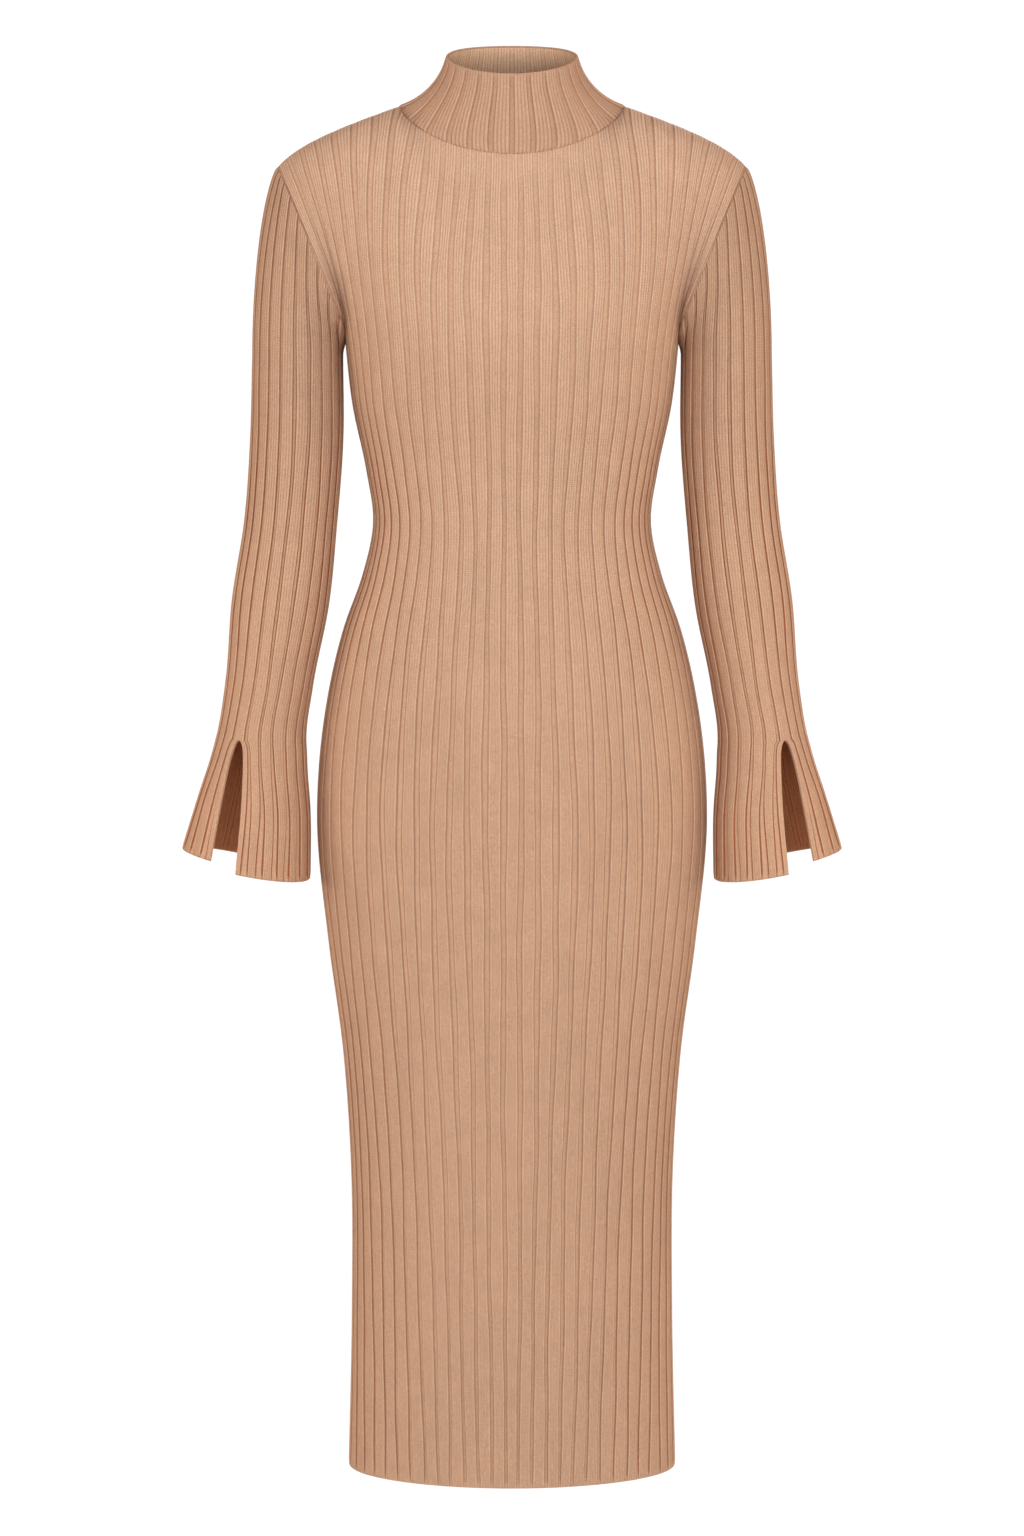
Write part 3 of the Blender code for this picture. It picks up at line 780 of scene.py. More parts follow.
@dataclass(frozen=True)
class Body:
    """The form of the dress's body, which both panels, the sleeves and the collar follow."""

    ribs: int = 29
    neck_ribs: int = 15
    neckline: Neckline = Neckline()
    shoulder: Shoulder = Shoulder()
    arm_tilt: tuple[float, float, float] = (0.929, 0.0, -0.370)
    armhole_pull: int = 6
    foot_spread: float = 0.20
    yoke_steps: tuple[float, ...] = (0.0, 0.24, 0.46, 0.66, 0.84, 1.0)
    yokes: tuple[Yoke, Yoke] = (
        Yoke((0.0, -0.010, -0.048), (0.0, -0.076, 0.002), (-0.008, -0.050, -0.012), (0.0, -0.004, 0.049),
             0.100, (-0.002, -0.090, 0.0), (14, 15, 17, 19, 21, 24)),
        Yoke((0.0, 0.022, -0.045), (0.0, 0.080, 0.006), (-0.008, 0.046, -0.012), (0.0, 0.006, 0.060),
             0.104, (-0.002, 0.086, 0.0), (14, 12, 10, 8, 6, 3)),
    )
    sections: tuple[BodySection, ...] = (
        BodySection(-1.130, 0.1366, 0.098, 0.092, 0.0109, 0.22),
        BodySection(-1.000, 0.1338, 0.097, 0.094, 0.0117, 0.24),
        BodySection(-0.880, 0.1342, 0.096, 0.098, 0.0124, 0.27),
        BodySection(-0.780, 0.1408, 0.096, 0.106, 0.0133, 0.31),
        BodySection(-0.690, 0.1527, 0.098, 0.116, 0.0141, 0.34),
        BodySection(-0.585, 0.1620, 0.100, 0.124, 0.0146, 0.35),
        BodySection(-0.500, 0.1552, 0.099, 0.116, 0.0140, 0.34),
        BodySection(-0.430, 0.1396, 0.095, 0.096, 0.0131, 0.31),
        BodySection(-0.385, 0.1236, 0.091, 0.080, 0.0124, 0.29),
        BodySection(-0.342, 0.1150, 0.089, 0.073, 0.0121, 0.28),
        BodySection(-0.300, 0.1205, 0.092, 0.076, 0.0127, 0.30),
        BodySection(-0.245, 0.1320, 0.104, 0.086, 0.0136, 0.34),
        BodySection(-0.186, 0.1385, 0.112, 0.096, 0.0141, 0.36),
    )

    def yoke(self, side: Side) -> Yoke:
        """The yoke of a side."""
        return self.yokes[0] if side is Side.FRONT else self.yokes[1]

    def read(self, heights: Array) -> Array:
        """Half width, front, back, centre pitch and gutter at heights, one row for each."""
        rows = [
            (each.half_width, each.front, each.back, each.centre_pitch, each.gutter) for each in self.sections
        ]
        return smooth_table([each.height for each in self.sections], rows, heights)

    def level_points(self, side: Side, height: float, sizes: Array, places: Array) -> Array:
        """Points of a level section.

        Args:
            side: which panel.
            height: the section's height.
            sizes: its row from read.
            places: places across the panel, -1 to 1.

        Returns:
            Its points, under the ribs.
        """
        half_width = sizes[0] - RIB_RISE
        depth = sizes[1 if side is Side.FRONT else 2] - RIB_RISE
        spread = sizes[3] * self.ribs / 2 / quarter_length(half_width, sizes[1] - RIB_RISE) - 1.0
        share = np.abs(places)
        angles = quarter_angles(half_width, depth, share * (1.0 + spread) - spread * share**3)
        x = np.sign(places) * half_width * np.sin(angles)
        return np.stack([x, side.value * depth * np.cos(angles), np.full_like(x, height)], -1)

    def yoke_controls(self, side: Side, places: Array) -> list[Array]:
        """Control points of the lines above the underarm level, at places across a panel, -1 to 1."""
        yoke = self.yoke(side)
        foot_height = self.sections[-1].height
        share = np.abs(places)
        foot = self.level_points(side, foot_height, self.read(np.array([foot_height]))[0], share)
        neck_share = self.neck_ribs / self.ribs
        in_neck = (share <= neck_share)[:, None]

        part = np.minimum(share / neck_share, 1.0)
        turn = np.arcsin(part)
        turn = turn if side is Side.FRONT else math.pi - turn
        neck_top = self.neckline.seam(turn)
        centre = self.neckline.seam(0.0 if side is Side.FRONT else math.pi) + yoke.neck_handle
        point = self.neckline.seam(math.pi / 2)
        pull = part[:, None] ** 3
        neck_below = centre * (1.0 - pull) + (point + yoke.point_handle) * pull
        neck_below[:, 0] = neck_top[:, 0]

        out = np.clip((share - neck_share) / (1.0 - neck_share), 0.0, 1.0)
        tip_top = self.shoulder.seam(point, out)
        blend = out[:, None] ** 2
        tip_below = tip_top + np.array(yoke.point_handle) * (1.0 - blend) + np.array(yoke.tip_handle) * blend

        top = np.where(in_neck, neck_top, tip_top)
        below = np.where(in_neck, neck_below, tip_below)
        reach = np.where(in_neck[:, 0], part**2, 1.0)
        length = yoke.foot_handle[2] + (yoke.foot_reach - yoke.foot_handle[2]) * reach
        lean = self.foot_spread * foot[:, 0] / self.sections[-1].half_width * length
        plain = np.stack([lean, np.full_like(lean, yoke.foot_handle[1]), length], -1)
        beside = share[:, None] ** self.armhole_pull
        handle = plain * (1.0 - beside) + np.array(yoke.arm_handle) * beside
        controls = [foot, foot + handle, below, top]
        flip = np.stack([np.where(places < 0, -1.0, 1.0), np.ones_like(share), np.ones_like(share)], -1)
        return [each * flip for each in controls]

    def neck_outward(self, turn: Array, collar: "Collar") -> Array:
        """The way that the walls' thickness runs at angles of the collar seam."""
        along = unit(self.neckline.seam(turn + 0.01) - self.neckline.seam(turn - 0.01))
        aside = np.sin(turn)
        front = np.cos(turn)[:, None] >= 0
        handles = np.where(front, np.array(self.yokes[0].neck_handle), np.array(self.yokes[1].neck_handle))
        shoulder = np.stack([np.sign(aside) * self.shoulder.inner_handle[0], 0 * aside,
                             0 * aside + self.shoulder.inner_handle[2]], -1)
        share = aside[:, None] ** 2
        body_up = -(handles * (1.0 - share) + shoulder * share)
        seam, above = collar.controls(turn)[:2]
        return unit(unit(np.cross(along, body_up)) + unit(np.cross(along, above - seam)))


def spaced(start: float, stop: float, step: float) -> Array:
    """Places from start to stop about a step apart, without stop."""
    count = max(int(round(abs(stop - start) / step)), 1)
    return np.linspace(start, stop, count, endpoint=False)


@dataclass
class Panel:
    """The front or the back of the body, from its neck and shoulder seams down to the hem."""

    side: Side
    body: Body
    collar: "Collar"
    cut: FlatCut
    rows_apart: float = 0.0072
    hem_dip: float = 0.0030

    def wall(self) -> Wall:
        """The panel's cloth."""
        body = self.body
        warped = RIBS.columns(0.0, body.ribs)
        underarm = body.sections[-1].height
        hem = body.sections[0].height
        steps = 1.0 - np.concatenate([[0.0, 0.008, 0.018, 0.030], spaced(0.045, 1.0, 0.0225)])
        heights = np.concatenate([
            spaced(underarm, hem + 0.010, self.rows_apart), hem + np.array([0.010, 0.0065, 0.0035, 0.0012])
        ])

        sizes = body.read(heights)
        places = 2.0 * RIBS.true_place(warped, sizes[0, 4]) / body.ribs - 1.0
        upper = bezier(body.yoke_controls(self.side, places), steps[:, None])
        lower = [
            body.level_points(
                self.side, height, row, 2.0 * RIBS.true_place(warped, row[4]) / body.ribs - 1.0
            )
            for height, row in zip(heights, sizes)
        ]
        ground = np.concatenate([upper, lower])
        ground = self.eased_underarm(ground, len(steps))
        if self.side is Side.FRONT:
            self.shape_front(ground, places)
        gutters = np.concatenate([np.full(len(steps), sizes[0, 4]), sizes[:, 4]])
        phase = self.side.value + 1.3
        ground = wandered(ground, RIBS.true_place(warped, gutters[:, None]), mean_run(ground), 0.05, phase)

        half_gap = self.side.value * SEAM_GAP / 2
        ground[len(steps):, 0, 1] += half_gap
        ground[len(steps):, -1, 1] += half_gap
        tilt = np.array(body.arm_tilt)
        ground[: len(steps) + 1, -1] -= tilt * SEAM_GAP / 2
        ground[: len(steps) + 1, 0] -= tilt * np.array([-1.0, 1.0, 1.0]) * SEAM_GAP / 2
        name = f"{self.side.name.lower()}_panel"
        made = Wall(name, ground, warped, (0.0, 0.0), np.ones(len(ground), dtype=bool))
        self.turn_to_seams(made, places, len(steps))
        made.relief = 1.0 - 0.90 * ease(made.from_start, 0.034, 0.012)
        return made

    def eased_underarm(self, ground: Array, level: int) -> Array:
        """The ground with the bend at the underarm level softened, more so away from the side seams."""
        reach = EASING_REACH
        place = np.abs(np.linspace(-1.0, 1.0, ground.shape[1]))
        inside = ease(1.0 - place, 0.0, 0.22)[None, :, None]
        for _ in range(EASING_PASSES):
            near = slice(level - reach, level + reach + 1)
            before = ground[level - reach - 1:level + reach]
            after = ground[level - reach + 1:level + reach + 2]
            ground[near] += ((before + after) / 2 - ground[near]) * 0.5 * inside
        return ground

    def shape_front(self, ground: Array, places: Array) -> None:
        """Lets the hem dip in the middle and the front swell softly across the chest."""
        x, z = ground[..., 0], ground[..., 2]
        swell = bell(x, 0.120) * bell(z + 0.182, 0.050)
        tuck = bell(x, 0.105) * bell(z + 0.264, 0.032)
        ground[..., 1] -= 0.0060 * swell - 0.0025 * tuck
        hem = self.body.sections[0].height
        ground[..., 2] -= self.hem_dip * (1.0 - places**2) * ease(z, hem + 0.070, hem)

    def turn_to_seams(self, made: Wall, places: Array, level: int) -> None:
        """Turns the normals and parts the cloth at the neck, shoulder, arm and side seams."""
        body = self.body
        neck_share = body.neck_ribs / body.ribs
        in_neck = np.flatnonzero(np.abs(places) <= neck_share)
        outside = np.flatnonzero(np.abs(places) >= neck_share)
        turn = np.arcsin(np.clip(places[in_neck] / neck_share, -1.0, 1.0))
        turn = turn if self.side is Side.FRONT else math.pi - turn
        outward = body.neck_outward(turn, self.collar)
        across = unit(np.cross(outward, body.neckline.seam(turn + 0.01) - body.neckline.seam(turn - 0.01)))
        made.ground[0, in_neck] -= across * SEAM_GAP / 2
        made.turn_row(0, in_neck, outward)
        level_normals = made.normals[0, outside] * np.array([1.0, 0.0, 1.0])
        made.turn_row(0, outside, unit(level_normals))
        made.ground[0, outside, 1] += self.side.value * SEAM_GAP / 2

        tilt = np.array(body.arm_tilt)
        for end, sign in ((0, -1.0), (-1, 1.0)):
            facing = -tilt * np.array([sign, 1.0, 1.0])
            edge = made.normals[: level + 1, end]
            over = np.minimum(edge @ facing, 0.0)[:, None]
            made.normals[: level + 1, end] = unit(edge - facing * over)
            made.normals[level:, end] = unit(made.normals[level:, end] * np.array([1.0, 0.0, 1.0]))
        run = lengths_along(made.ground, 1)
        made.to_seam = np.minimum(made.to_seam, np.minimum(run, run[:, -1:] - run))

    def build(self, finish: KnitFinish) -> bpy.types.Object:
        """Builds and dresses the panel.

        Args:
            finish: its knit.

        Returns:
            The panel's object.
        """
        made = self.wall()
        piece = made.build(finish, finish)
        self.cut.dress(piece, self.side.name.lower(), made.area())
        return piece


@dataclass(frozen=True)
class SleeveSection:
    """One section of the sleeve at +X, measured over the ribs."""

    height: float
    centre_x: float
    centre_y: float
    half_width: float
    half_depth: float
    outer_rise: float
    front_drop: float
    slit_angle: float
    slit_open: float
    flap_lift: float
    gutter: float


@dataclass
class Sleeve:
    """A set-in sleeve with a bell cuff that is slit in front."""

    hand: Hand
    body: Body
    cut: FlatCut
    ribs: int = 21
    rows_apart: float = 0.0058
    sections: tuple[SleeveSection, ...] = (
        SleeveSection(-0.6270, 0.2204, -0.012, 0.0535, 0.054, 0.20, 0.08, 19.6, 24.6, 0.0058, 0.50),
        SleeveSection(-0.5740, 0.2129, -0.010, 0.0460, 0.047, 0.16, 0.05, 23.8, 23.2, 0.0030, 0.37),
        SleeveSection(-0.5420, 0.2095, -0.009, 0.0402, 0.042, 0.12, 0.03, 26.8, 19.2, 0.0010, 0.27),
        SleeveSection(-0.5280, 0.2080, -0.008, 0.0382, 0.041, 0.11, 0.02, 27.6, 12.4, 0.0003, 0.25),
        SleeveSection(-0.5220, 0.2075, -0.008, 0.0373, 0.040, 0.10, 0.02, 28.0, 0.0, 0.0, 0.24),
        SleeveSection(-0.4750, 0.2010, -0.006, 0.0363, 0.040, 0.08, 0.01, 25.5, 0.0, 0.0, 0.22),
        SleeveSection(-0.4080, 0.1917, -0.003, 0.0403, 0.042, 0.06, 0.00, 25.0, 0.0, 0.0, 0.22),
        SleeveSection(-0.3420, 0.1832, 0.000, 0.0386, 0.042, 0.03, 0.00, 26.0, 0.0, 0.0, 0.22),
        SleeveSection(-0.2750, 0.1782, 0.003, 0.0387, 0.045, 0.00, 0.00, 27.0, 0.0, 0.0, 0.22),
        SleeveSection(-0.2050, 0.1772, 0.004, 0.0377, 0.048, 0.00, 0.00, 27.0, 0.0, 0.0, 0.22),
    )
    slit_top: float = -0.5220
    base_angle: float = 26.5
    slit_way: tuple[tuple[float, float], ...] = (
        (0.0, 0.0), (0.239, 12.4), (0.436, 19.2), (0.704, 23.2), (1.0, 24.6)
    )
    flap_reach: float = 0.5

    def read(self, heights: Array) -> Array:
        """The sections' sizes at heights, one row for each, in the order of their fields from centre_x."""
        names = (
            "centre_x", "centre_y", "half_width", "half_depth", "outer_rise", "front_drop", "slit_angle",
            "slit_open", "flap_lift", "gutter",
        )
        rows = [[getattr(each, name) for name in names] for each in self.sections]
        sizes = smooth_table([each.height for each in self.sections], rows, heights)
        cuff = self.sections[0].height
        way = np.sqrt(np.clip((self.slit_top - heights) / (self.slit_top - cuff), 0.0, 1.0))
        knots, openings = zip(*self.slit_way)
        sizes[:, 7] = np.maximum(smooth_table(knots, np.array(openings)[:, None], way)[:, 0], 0.0)
        sizes[:, 7] *= heights < self.slit_top - 1e-6
        return sizes

    def level_points(self, height: Array, sizes: Array, places: Array) -> Array:
        """Points of sections, under the ribs.

        Args:
            height: the sections' heights, of shape (rows, 1).
            sizes: their rows from read.
            places: places round the sleeve, 0 to 1 from one edge of the slit to the other.

        Returns:
            The points, of shape (rows, columns, 3).
        """
        columns = [column[:, None] for column in sizes.T]
        centre_x, centre_y, half_width, half_depth, outer_rise, front_drop, angle, opening, lift, _ = columns
        places = np.clip(places, 0.0, 1.0)
        spread = self.slit_way[-1][1] * ease(self.slit_top + 0.020 - height, 0.0, 0.085)
        parted = 0.0
        for sign, place in ((1.0, places), (-1.0, 1.0 - places)):
            beside = np.exp(-((self.ribs * place / 0.9) ** 2))
            parted = parted + sign / 2 * (opening * beside + spread * (1.0 - beside) * (1.0 - place) ** 5)
        turned = self.base_angle + (angle - self.base_angle) * (1.0 - 2.0 * places) ** 2
        turn = np.radians(turned + parted + 360.0 * places)
        across = (half_width - RIB_RISE) * np.sin(turn)
        ahead = (half_depth - RIB_RISE) * np.cos(turn)
        z = height + outer_rise * across - front_drop * ahead + lift * ease(places, self.flap_reach, 0.0)
        return np.stack([centre_x + across, centre_y - ahead, z], -1)

    def armhole_points(self, ribs: Array) -> Array:
        """Points of the armhole seam at places round the sleeve, in ribs from the slit."""
        body = self.body
        front, back = (np.array(body.yoke(side).sleeve_gutters) + 0.5 for side in (Side.FRONT, Side.BACK))
        ribs = np.where(ribs >= back[-1], ribs, ribs + self.ribs)
        behind = np.interp(ribs, back[::-1], body.yoke_steps[::-1])
        ahead = np.interp(ribs, front, body.yoke_steps)
        edge = np.array([1.0])
        back_points = bezier(body.yoke_controls(Side.BACK, edge), behind[:, None])[:, 0]
        front_points = bezier(body.yoke_controls(Side.FRONT, edge), ahead[:, None])[:, 0]
        return np.where((ribs <= back[0])[:, None], back_points, front_points)

    def cap_rows(self, places: Array, steps: Array) -> Array:
        """Rows of the sleeve's head, from the armhole seam to the first section."""
        top = self.sections[-1]
        foot = self.level_points(
            np.array([[top.height]]), self.read(np.array([top.height])), places[None, :]
        )[0]
        seam = self.armhole_points(self.ribs * places)
        turn = (top.slit_angle + 360.0 * places + 90.0) % 360.0
        facing = np.where(turn <= 180.0, Side.FRONT.value, Side.BACK.value)
        rise = np.where(turn <= 180.0, turn / 180.0, (360.0 - turn) / 180.0)
        reach = np.linalg.norm(foot - seam, axis=-1)
        forward = facing * 0.12 * np.sin(math.pi * rise)
        away = unit(np.stack([0.60 * rise**3, forward, -np.ones_like(rise)], -1))
        up = np.array([0.0, 0.0, 1.0])
        controls = (
            seam,
            seam + away * (reach * (0.33 - 0.20 * rise**3))[:, None],
            foot + up * (reach * (0.33 + 0.10 * rise**3))[:, None],
            foot,
        )
        return bezier(controls, steps[:, None])

    def wall(self) -> Wall:
        """The sleeve's cloth."""
        warped = RIBS.columns(0.5, self.ribs, ends=(0.02, 0.06))
        steps = np.concatenate([[0.0, 0.012, 0.028, 0.05], spaced(0.08, 1.0, 0.028)])
        top, cuff = self.sections[-1].height, self.sections[0].height
        low = self.slit_top
        heights = np.concatenate([
            spaced(top, low + 0.004, self.rows_apart),
            spaced(low + 0.004, low, 0.002),
            low - np.array([0.0, 0.0003, 0.0008, 0.0016, 0.0028, 0.0045, 0.0065]),
            spaced(low - 0.009, cuff + 0.008, 0.0038),
            cuff + np.array([0.008, 0.0052, 0.0028, 0.0010]),
        ])
        sizes = self.read(heights)
        places = (RIBS.true_place(warped[None, :], sizes[:, 9:10]) - 0.5) / self.ribs
        head = self.cap_rows((RIBS.true_place(warped, sizes[0, 9]) - 0.5) / self.ribs, steps)
        ground = np.concatenate([head, self.level_points(heights[:, None], sizes, places)])
        spots = np.concatenate([np.repeat(places[:1], len(steps), axis=0), places]) * self.ribs
        ground = wandered(ground, spots, mean_run(ground), 0.06, 4.0)
        tilt = np.array(self.body.arm_tilt)
        ground[0] += tilt * SEAM_GAP / 2
        opened = np.concatenate([np.zeros(len(steps), dtype=bool), sizes[:, 7] > 0.0])
        made = Wall(f"{self.hand.name.lower()}_sleeve", ground, warped, (0.2, -0.005), opened)
        over = np.minimum(made.normals[0] @ -tilt, 0.0)[:, None]
        made.turn_row(0, np.arange(len(warped)), unit(made.normals[0] + tilt * over))
        run = lengths_along(ground, 1)
        beside = np.where(opened[:, None], np.minimum(run, run[:, -1:] - run), 1.0)
        made.to_edge = np.minimum(made.to_edge, beside)
        return made

    def build(self, finish: KnitFinish, inside_finish: KnitFinish) -> bpy.types.Object:
        """Builds and dresses the sleeve.

        Args:
            finish: its knit.
            inside_finish: its look inside, with painted shade.

        Returns:
            The sleeve's object.
        """
        made = self.wall()
        area = made.area()
        if self.hand is Hand.RIGHT:
            flip = np.array([-1.0, 1.0, 1.0])
            made.ground = made.ground * flip
            made.normals = made.normals * flip
        piece = made.build(finish, inside_finish)
        self.cut.dress(piece, f"sleeve_{self.hand.name.lower()}", area)
        return piece


@dataclass
class Collar:
    """The standing collar, from its seam up to its rim."""

    neckline: Neckline
    shoulder: Shoulder
    cut: FlatCut
    ribs: int = 26
    gutter: float = 0.26
    seam_spread: float = -0.25
    rim_spread: float = 0.05
    rim_half_width: float = 0.0530
    rim_half_depth: float = 0.0515
    rim_y: float = -0.022
    rim_z: float = 0.0375
    rim_tilt: float = 0.0134
    rim_side_rise: float = 0.0028

    def controls(self, turn: Array) -> list[Array]:
        """Control points of the collar's lines at angles from the front, from seam to rim."""
        ahead = np.cos(turn)
        aside = np.sin(turn)
        seam = self.neckline.seam(turn)
        rim = np.stack([
            self.rim_half_width * aside,
            self.rim_y - self.rim_half_depth * ahead,
            self.rim_z - self.rim_tilt * ahead + self.rim_side_rise * aside**2,
        ], -1)
        front = ahead >= 0
        inward = np.where(front, 0.002, 0.016) * ahead**2 + 0.020 * aside**2
        rise = np.where(front, 0.020, 0.012) * ahead**2 + 0.006 * aside**2
        flare = np.where(front, 0.002, 0.006) * ahead**2 + 0.004 * aside**2
        outward = np.stack([aside, -ahead, 0 * aside], -1)
        up = np.array([0.0, 0.0, 1.0])
        return [
            seam,
            seam - outward * inward[..., None] + up * rise[..., None],
            rim + outward * flare[..., None] - up * 0.020,
            rim,
        ]

    def turns(self, places: Array, steps: Array) -> Array:
        """Angles from the front at places round the collar, 0 to 1, and steps from seam to rim."""
        spread = self.seam_spread * (1.0 - steps) + self.rim_spread * steps
        quarter = np.minimum(np.floor(4.0 * places), 3.0)
        part = 4.0 * places - quarter
        even = quarter % 2 == 0
        share = np.where(even, part, 1.0 - part)
        share = share * (1.0 + spread) - spread * share**3
        return math.pi / 2 * np.where(even, quarter + share, quarter + 1.0 - share)

    def wall(self, body: Body) -> Wall:
        """The collar's cloth."""
        warped = RIBS.columns(0.0, self.ribs)
        steps = np.concatenate([[0.0, 0.015, 0.032], spaced(0.055, 0.93, 0.030), [0.93, 0.95, 0.967, 0.98]])
        places = RIBS.true_place(warped, self.gutter) / self.ribs
        turns = self.turns(places[None, :], steps[:, None])
        ground = bezier(self.controls(turns), np.broadcast_to(steps[:, None], turns.shape))
        joined = np.zeros(len(steps), dtype=bool)
        made = Wall("mock_neck", ground, warped, (0.0, -0.01), joined, edge_fill=0.8)
        turn = turns[0]
        outward = body.neck_outward(turn, self)
        across = unit(np.cross(outward, self.neckline.seam(turn + 0.01) - self.neckline.seam(turn - 0.01)))
        made.ground[0] += across * SEAM_GAP / 2
        made.turn_row(0, np.arange(len(warped)), outward)
        return made

    def build(self, body: Body, finish: KnitFinish, inside_finish: KnitFinish) -> bpy.types.Object:
        """Builds and dresses the collar.

        Args:
            body: the body that it is linked to.
            finish: its knit.
            inside_finish: its look inside, with painted light.

        Returns:
            The collar's object.
        """
        made = self.wall(body)
        piece = made.build(finish, inside_finish)
        self.cut.dress(piece, "collar", made.area())
        return piece


# ---------------------------------------------------------------- the studio


@dataclass(frozen=True)
class FloorFinish:
    """Matt pale studio floor, which is lit up towards its rim so that it runs out into the backdrop."""

    name: str = "studio_floor"
    pale: Colour = (0.90, 0.895, 0.885)
    glow: float = 1.0

    def material(self) -> bpy.types.Material:
        """The floor's material."""
        made = bpy.data.materials.new(self.name)
        made.use_nodes = True
        graph = NodeGraph(made.node_tree)
        place = graph.node("ShaderNodeTexCoord", {}, {}).outputs["Object"]
        colour = graph.scaled(self.pale, 1.0 + (graph.noise(place, 1.4) - 0.5) * 0.01)
        x, y, _ = graph.parted(place)
        out = ((x * x + y * y) ** 0.5).ease(0.30, 1.00)
        seen = graph.value("ShaderNodeLightPath", {}, {}, "Is Camera Ray")
        settings = {
            "Base Color": colour,
            "Roughness": 0.9,
            "Specular IOR Level": 0.2,
            "Emission Color": graph.blend((0.0, 0.0, 0.0), (1.0, 1.0, 1.0), seen * (0.30 + out * 0.70)),
            "Emission Strength": self.glow,
        }
        shader = graph.node("ShaderNodeBsdfPrincipled", {}, settings)
        graph.node("ShaderNodeOutputMaterial", {}, {"Surface": shader.outputs[0]})
        return made


@dataclass(frozen=True)
class SoftBox:
    """A square area light."""

    name: str
    place: tuple[float, float, float]
    aim: tuple[float, float, float]
    side: float
    watts: float
    tint: Colour = (1.0, 1.0, 1.0)

    def hang(self) -> None:
        """Puts the light in the scene."""
        light = bpy.data.lights.new(self.name, "AREA")
        light.shape = "SQUARE"
        light.size = self.side
        light.energy = self.watts
        light.color = self.tint
        made = bpy.data.objects.new(self.name, light)
        made.location = self.place
        way = Vector(self.aim) - Vector(self.place)
        made.rotation_euler = way.to_track_quat("-Z", "Y").to_euler()
        bpy.context.scene.collection.objects.link(made)


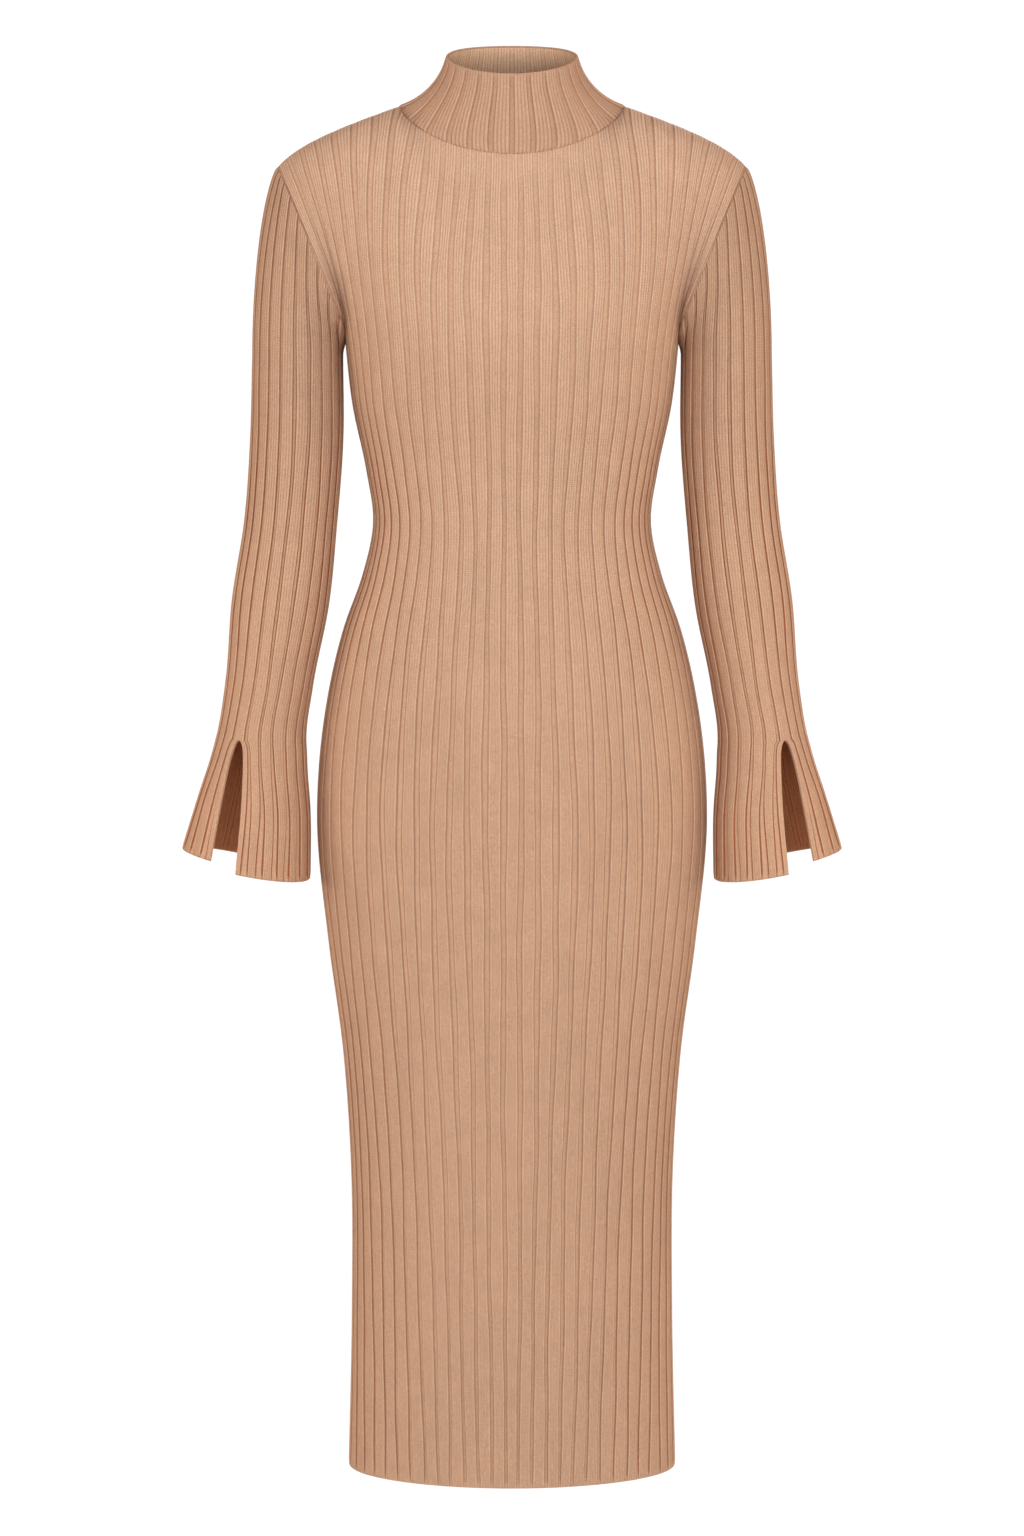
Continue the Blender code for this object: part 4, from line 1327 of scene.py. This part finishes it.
@dataclass
class Studio:
    """The floor, the light and the camera."""

    floor_z: float = -1.410
    floor_radius: float = 1.05
    floor: FloorFinish = FloorFinish()
    upper_air: Colour = (0.150, 0.110, 0.100)
    lower_air: Colour = (0.285, 0.215, 0.185)
    backdrop: float = 1.05
    lights: tuple[SoftBox, ...] = (
        SoftBox("front_left", (-0.9, -1.75, 0.05), (0.0, 0.0, -0.25), 1.0, 10.6, (0.86, 0.98, 1.0)),
        SoftBox("front_right", (0.9, -1.75, 0.05), (0.0, 0.0, -0.25), 1.0, 17.2, (0.885, 0.985, 1.0)),
        SoftBox("front_high", (0.0, -2.0, 1.2), (0.0, 0.0, -0.10), 1.2, 13.0, (0.76, 0.92, 1.0)),
        SoftBox("side_left", (-2.6, -0.9, 0.0), (0.0, 0.0, -0.45), 1.5, 33.0, (1.0, 0.93, 0.82)),
        SoftBox("side_right", (2.6, -0.9, 0.0), (0.0, 0.0, -0.45), 1.5, 25.0, (1.0, 0.90, 0.76)),
        SoftBox("top_light", (0.0, -0.4, 2.2), (0.0, 0.0, -0.4), 1.8, 12.5),
        SoftBox("back_light", (0.5, 3.2, 0.7), (0.0, 0.0, -0.4), 1.6, 100.0),
    )
    aim: tuple[float, float, float] = (0.0, 0.0, -0.5465)
    distance: float = 5.2
    look_down: float = 4.0
    seen_height: float = 1.2749

    def build(self) -> None:
        """Builds the whole studio."""
        self.lay_floor()
        self.light_air()
        for light in self.lights:
            light.hang()
        self.set_camera()
        bpy.context.scene.view_settings.view_transform = "Standard"

    def lay_floor(self) -> None:
        """Lays the round floor."""
        turns = np.linspace(0.0, 2 * math.pi, 96, endpoint=False)
        rim = [
            (self.floor_radius * math.cos(turn), self.floor_radius * math.sin(turn), self.floor_z)
            for turn in turns
        ]
        data = bpy.data.meshes.new("floor")
        data.from_pydata(rim, [], [tuple(range(len(rim)))])
        data.materials.append(self.floor.material())
        made = bpy.data.objects.new("floor", data)
        bpy.context.scene.collection.objects.link(made)

    def light_air(self) -> None:
        """Sets the soft light all round, and the pale backdrop that the camera sees."""
        world = bpy.data.worlds.new("studio_air")
        bpy.context.scene.world = world
        world.use_nodes = True
        graph = NodeGraph(world.node_tree)
        way = graph.node("ShaderNodeTexCoord", {}, {}).outputs["Generated"]
        air = graph.blend(self.lower_air, self.upper_air, graph.parted(way)[2].ease(-0.45, 0.55))
        seen = graph.value("ShaderNodeLightPath", {}, {}, "Is Camera Ray")
        shown = graph.blend(air, (self.backdrop,) * 3, seen)
        background = graph.node("ShaderNodeBackground", {}, {"Color": shown})
        graph.node("ShaderNodeOutputWorld", {}, {"Surface": background.outputs[0]})

    def set_camera(self) -> None:
        """Sets the camera level with the middle of the dress, looking slightly down."""
        lens = bpy.data.cameras.new("camera")
        lens.sensor_fit = "AUTO"
        lens.sensor_width = 36.0
        lens.lens = 36.0 * self.distance / self.seen_height
        lens.clip_end = 100.0
        made = bpy.data.objects.new("camera", lens)
        down = math.radians(self.look_down)
        way = Vector((0.0, math.cos(down), -math.sin(down)))
        made.location = Vector(self.aim) - way * self.distance
        made.rotation_euler = way.to_track_quat("-Z", "Y").to_euler()
        bpy.context.scene.collection.objects.link(made)
        bpy.context.scene.camera = made


def main() -> None:
    """Builds the dress piece by piece, then the studio."""
    logging.basicConfig(level=logging.INFO, format="%(name)s: %(message)s")
    finish = KnitFinish("camel_rib_knit")
    # The sleeves' inside: the knit toned deeper and redder, as painted shade
    inside_finish = KnitFinish("camel_rib_knit_inside").toned((1.00, 0.78, 0.60))
    # The sleeves' knit toned darker than the body's, as painted shade; it also pales towards the cuff as
    # painted light
    sleeve_knit = KnitFinish("camel_rib_knit_sleeve", cuffed=1.0).toned((0.950, 0.920, 0.895))
    # The collar's outside toned darker than the body's knit, as painted shade
    neck_knit = KnitFinish("camel_rib_knit_neck").toned((0.86, 0.82, 0.80))
    # The collar's inside: the knit toned far paler than the yarn, as painted light
    lit_neck_inside = KnitFinish("camel_rib_knit_neck_inside").toned((1.42, 1.40, 1.36))
    body = Body()
    collar = Collar(body.neckline, body.shoulder, FlatCut(0.545, 0.075, 0.028))
    collar.build(body, neck_knit, lit_neck_inside)
    Panel(Side.FRONT, body, collar, FlatCut(0.420, 1.200, 0.445)).build(finish)
    Panel(Side.BACK, body, collar, FlatCut(0.460, 1.210, 0.453)).build(finish)
    for hand in Hand:
        Sleeve(hand, body, FlatCut(0.340, 0.610, 0.140)).build(sleeve_knit, inside_finish)
    Studio().build()


if __name__ == "__main__":
    main()
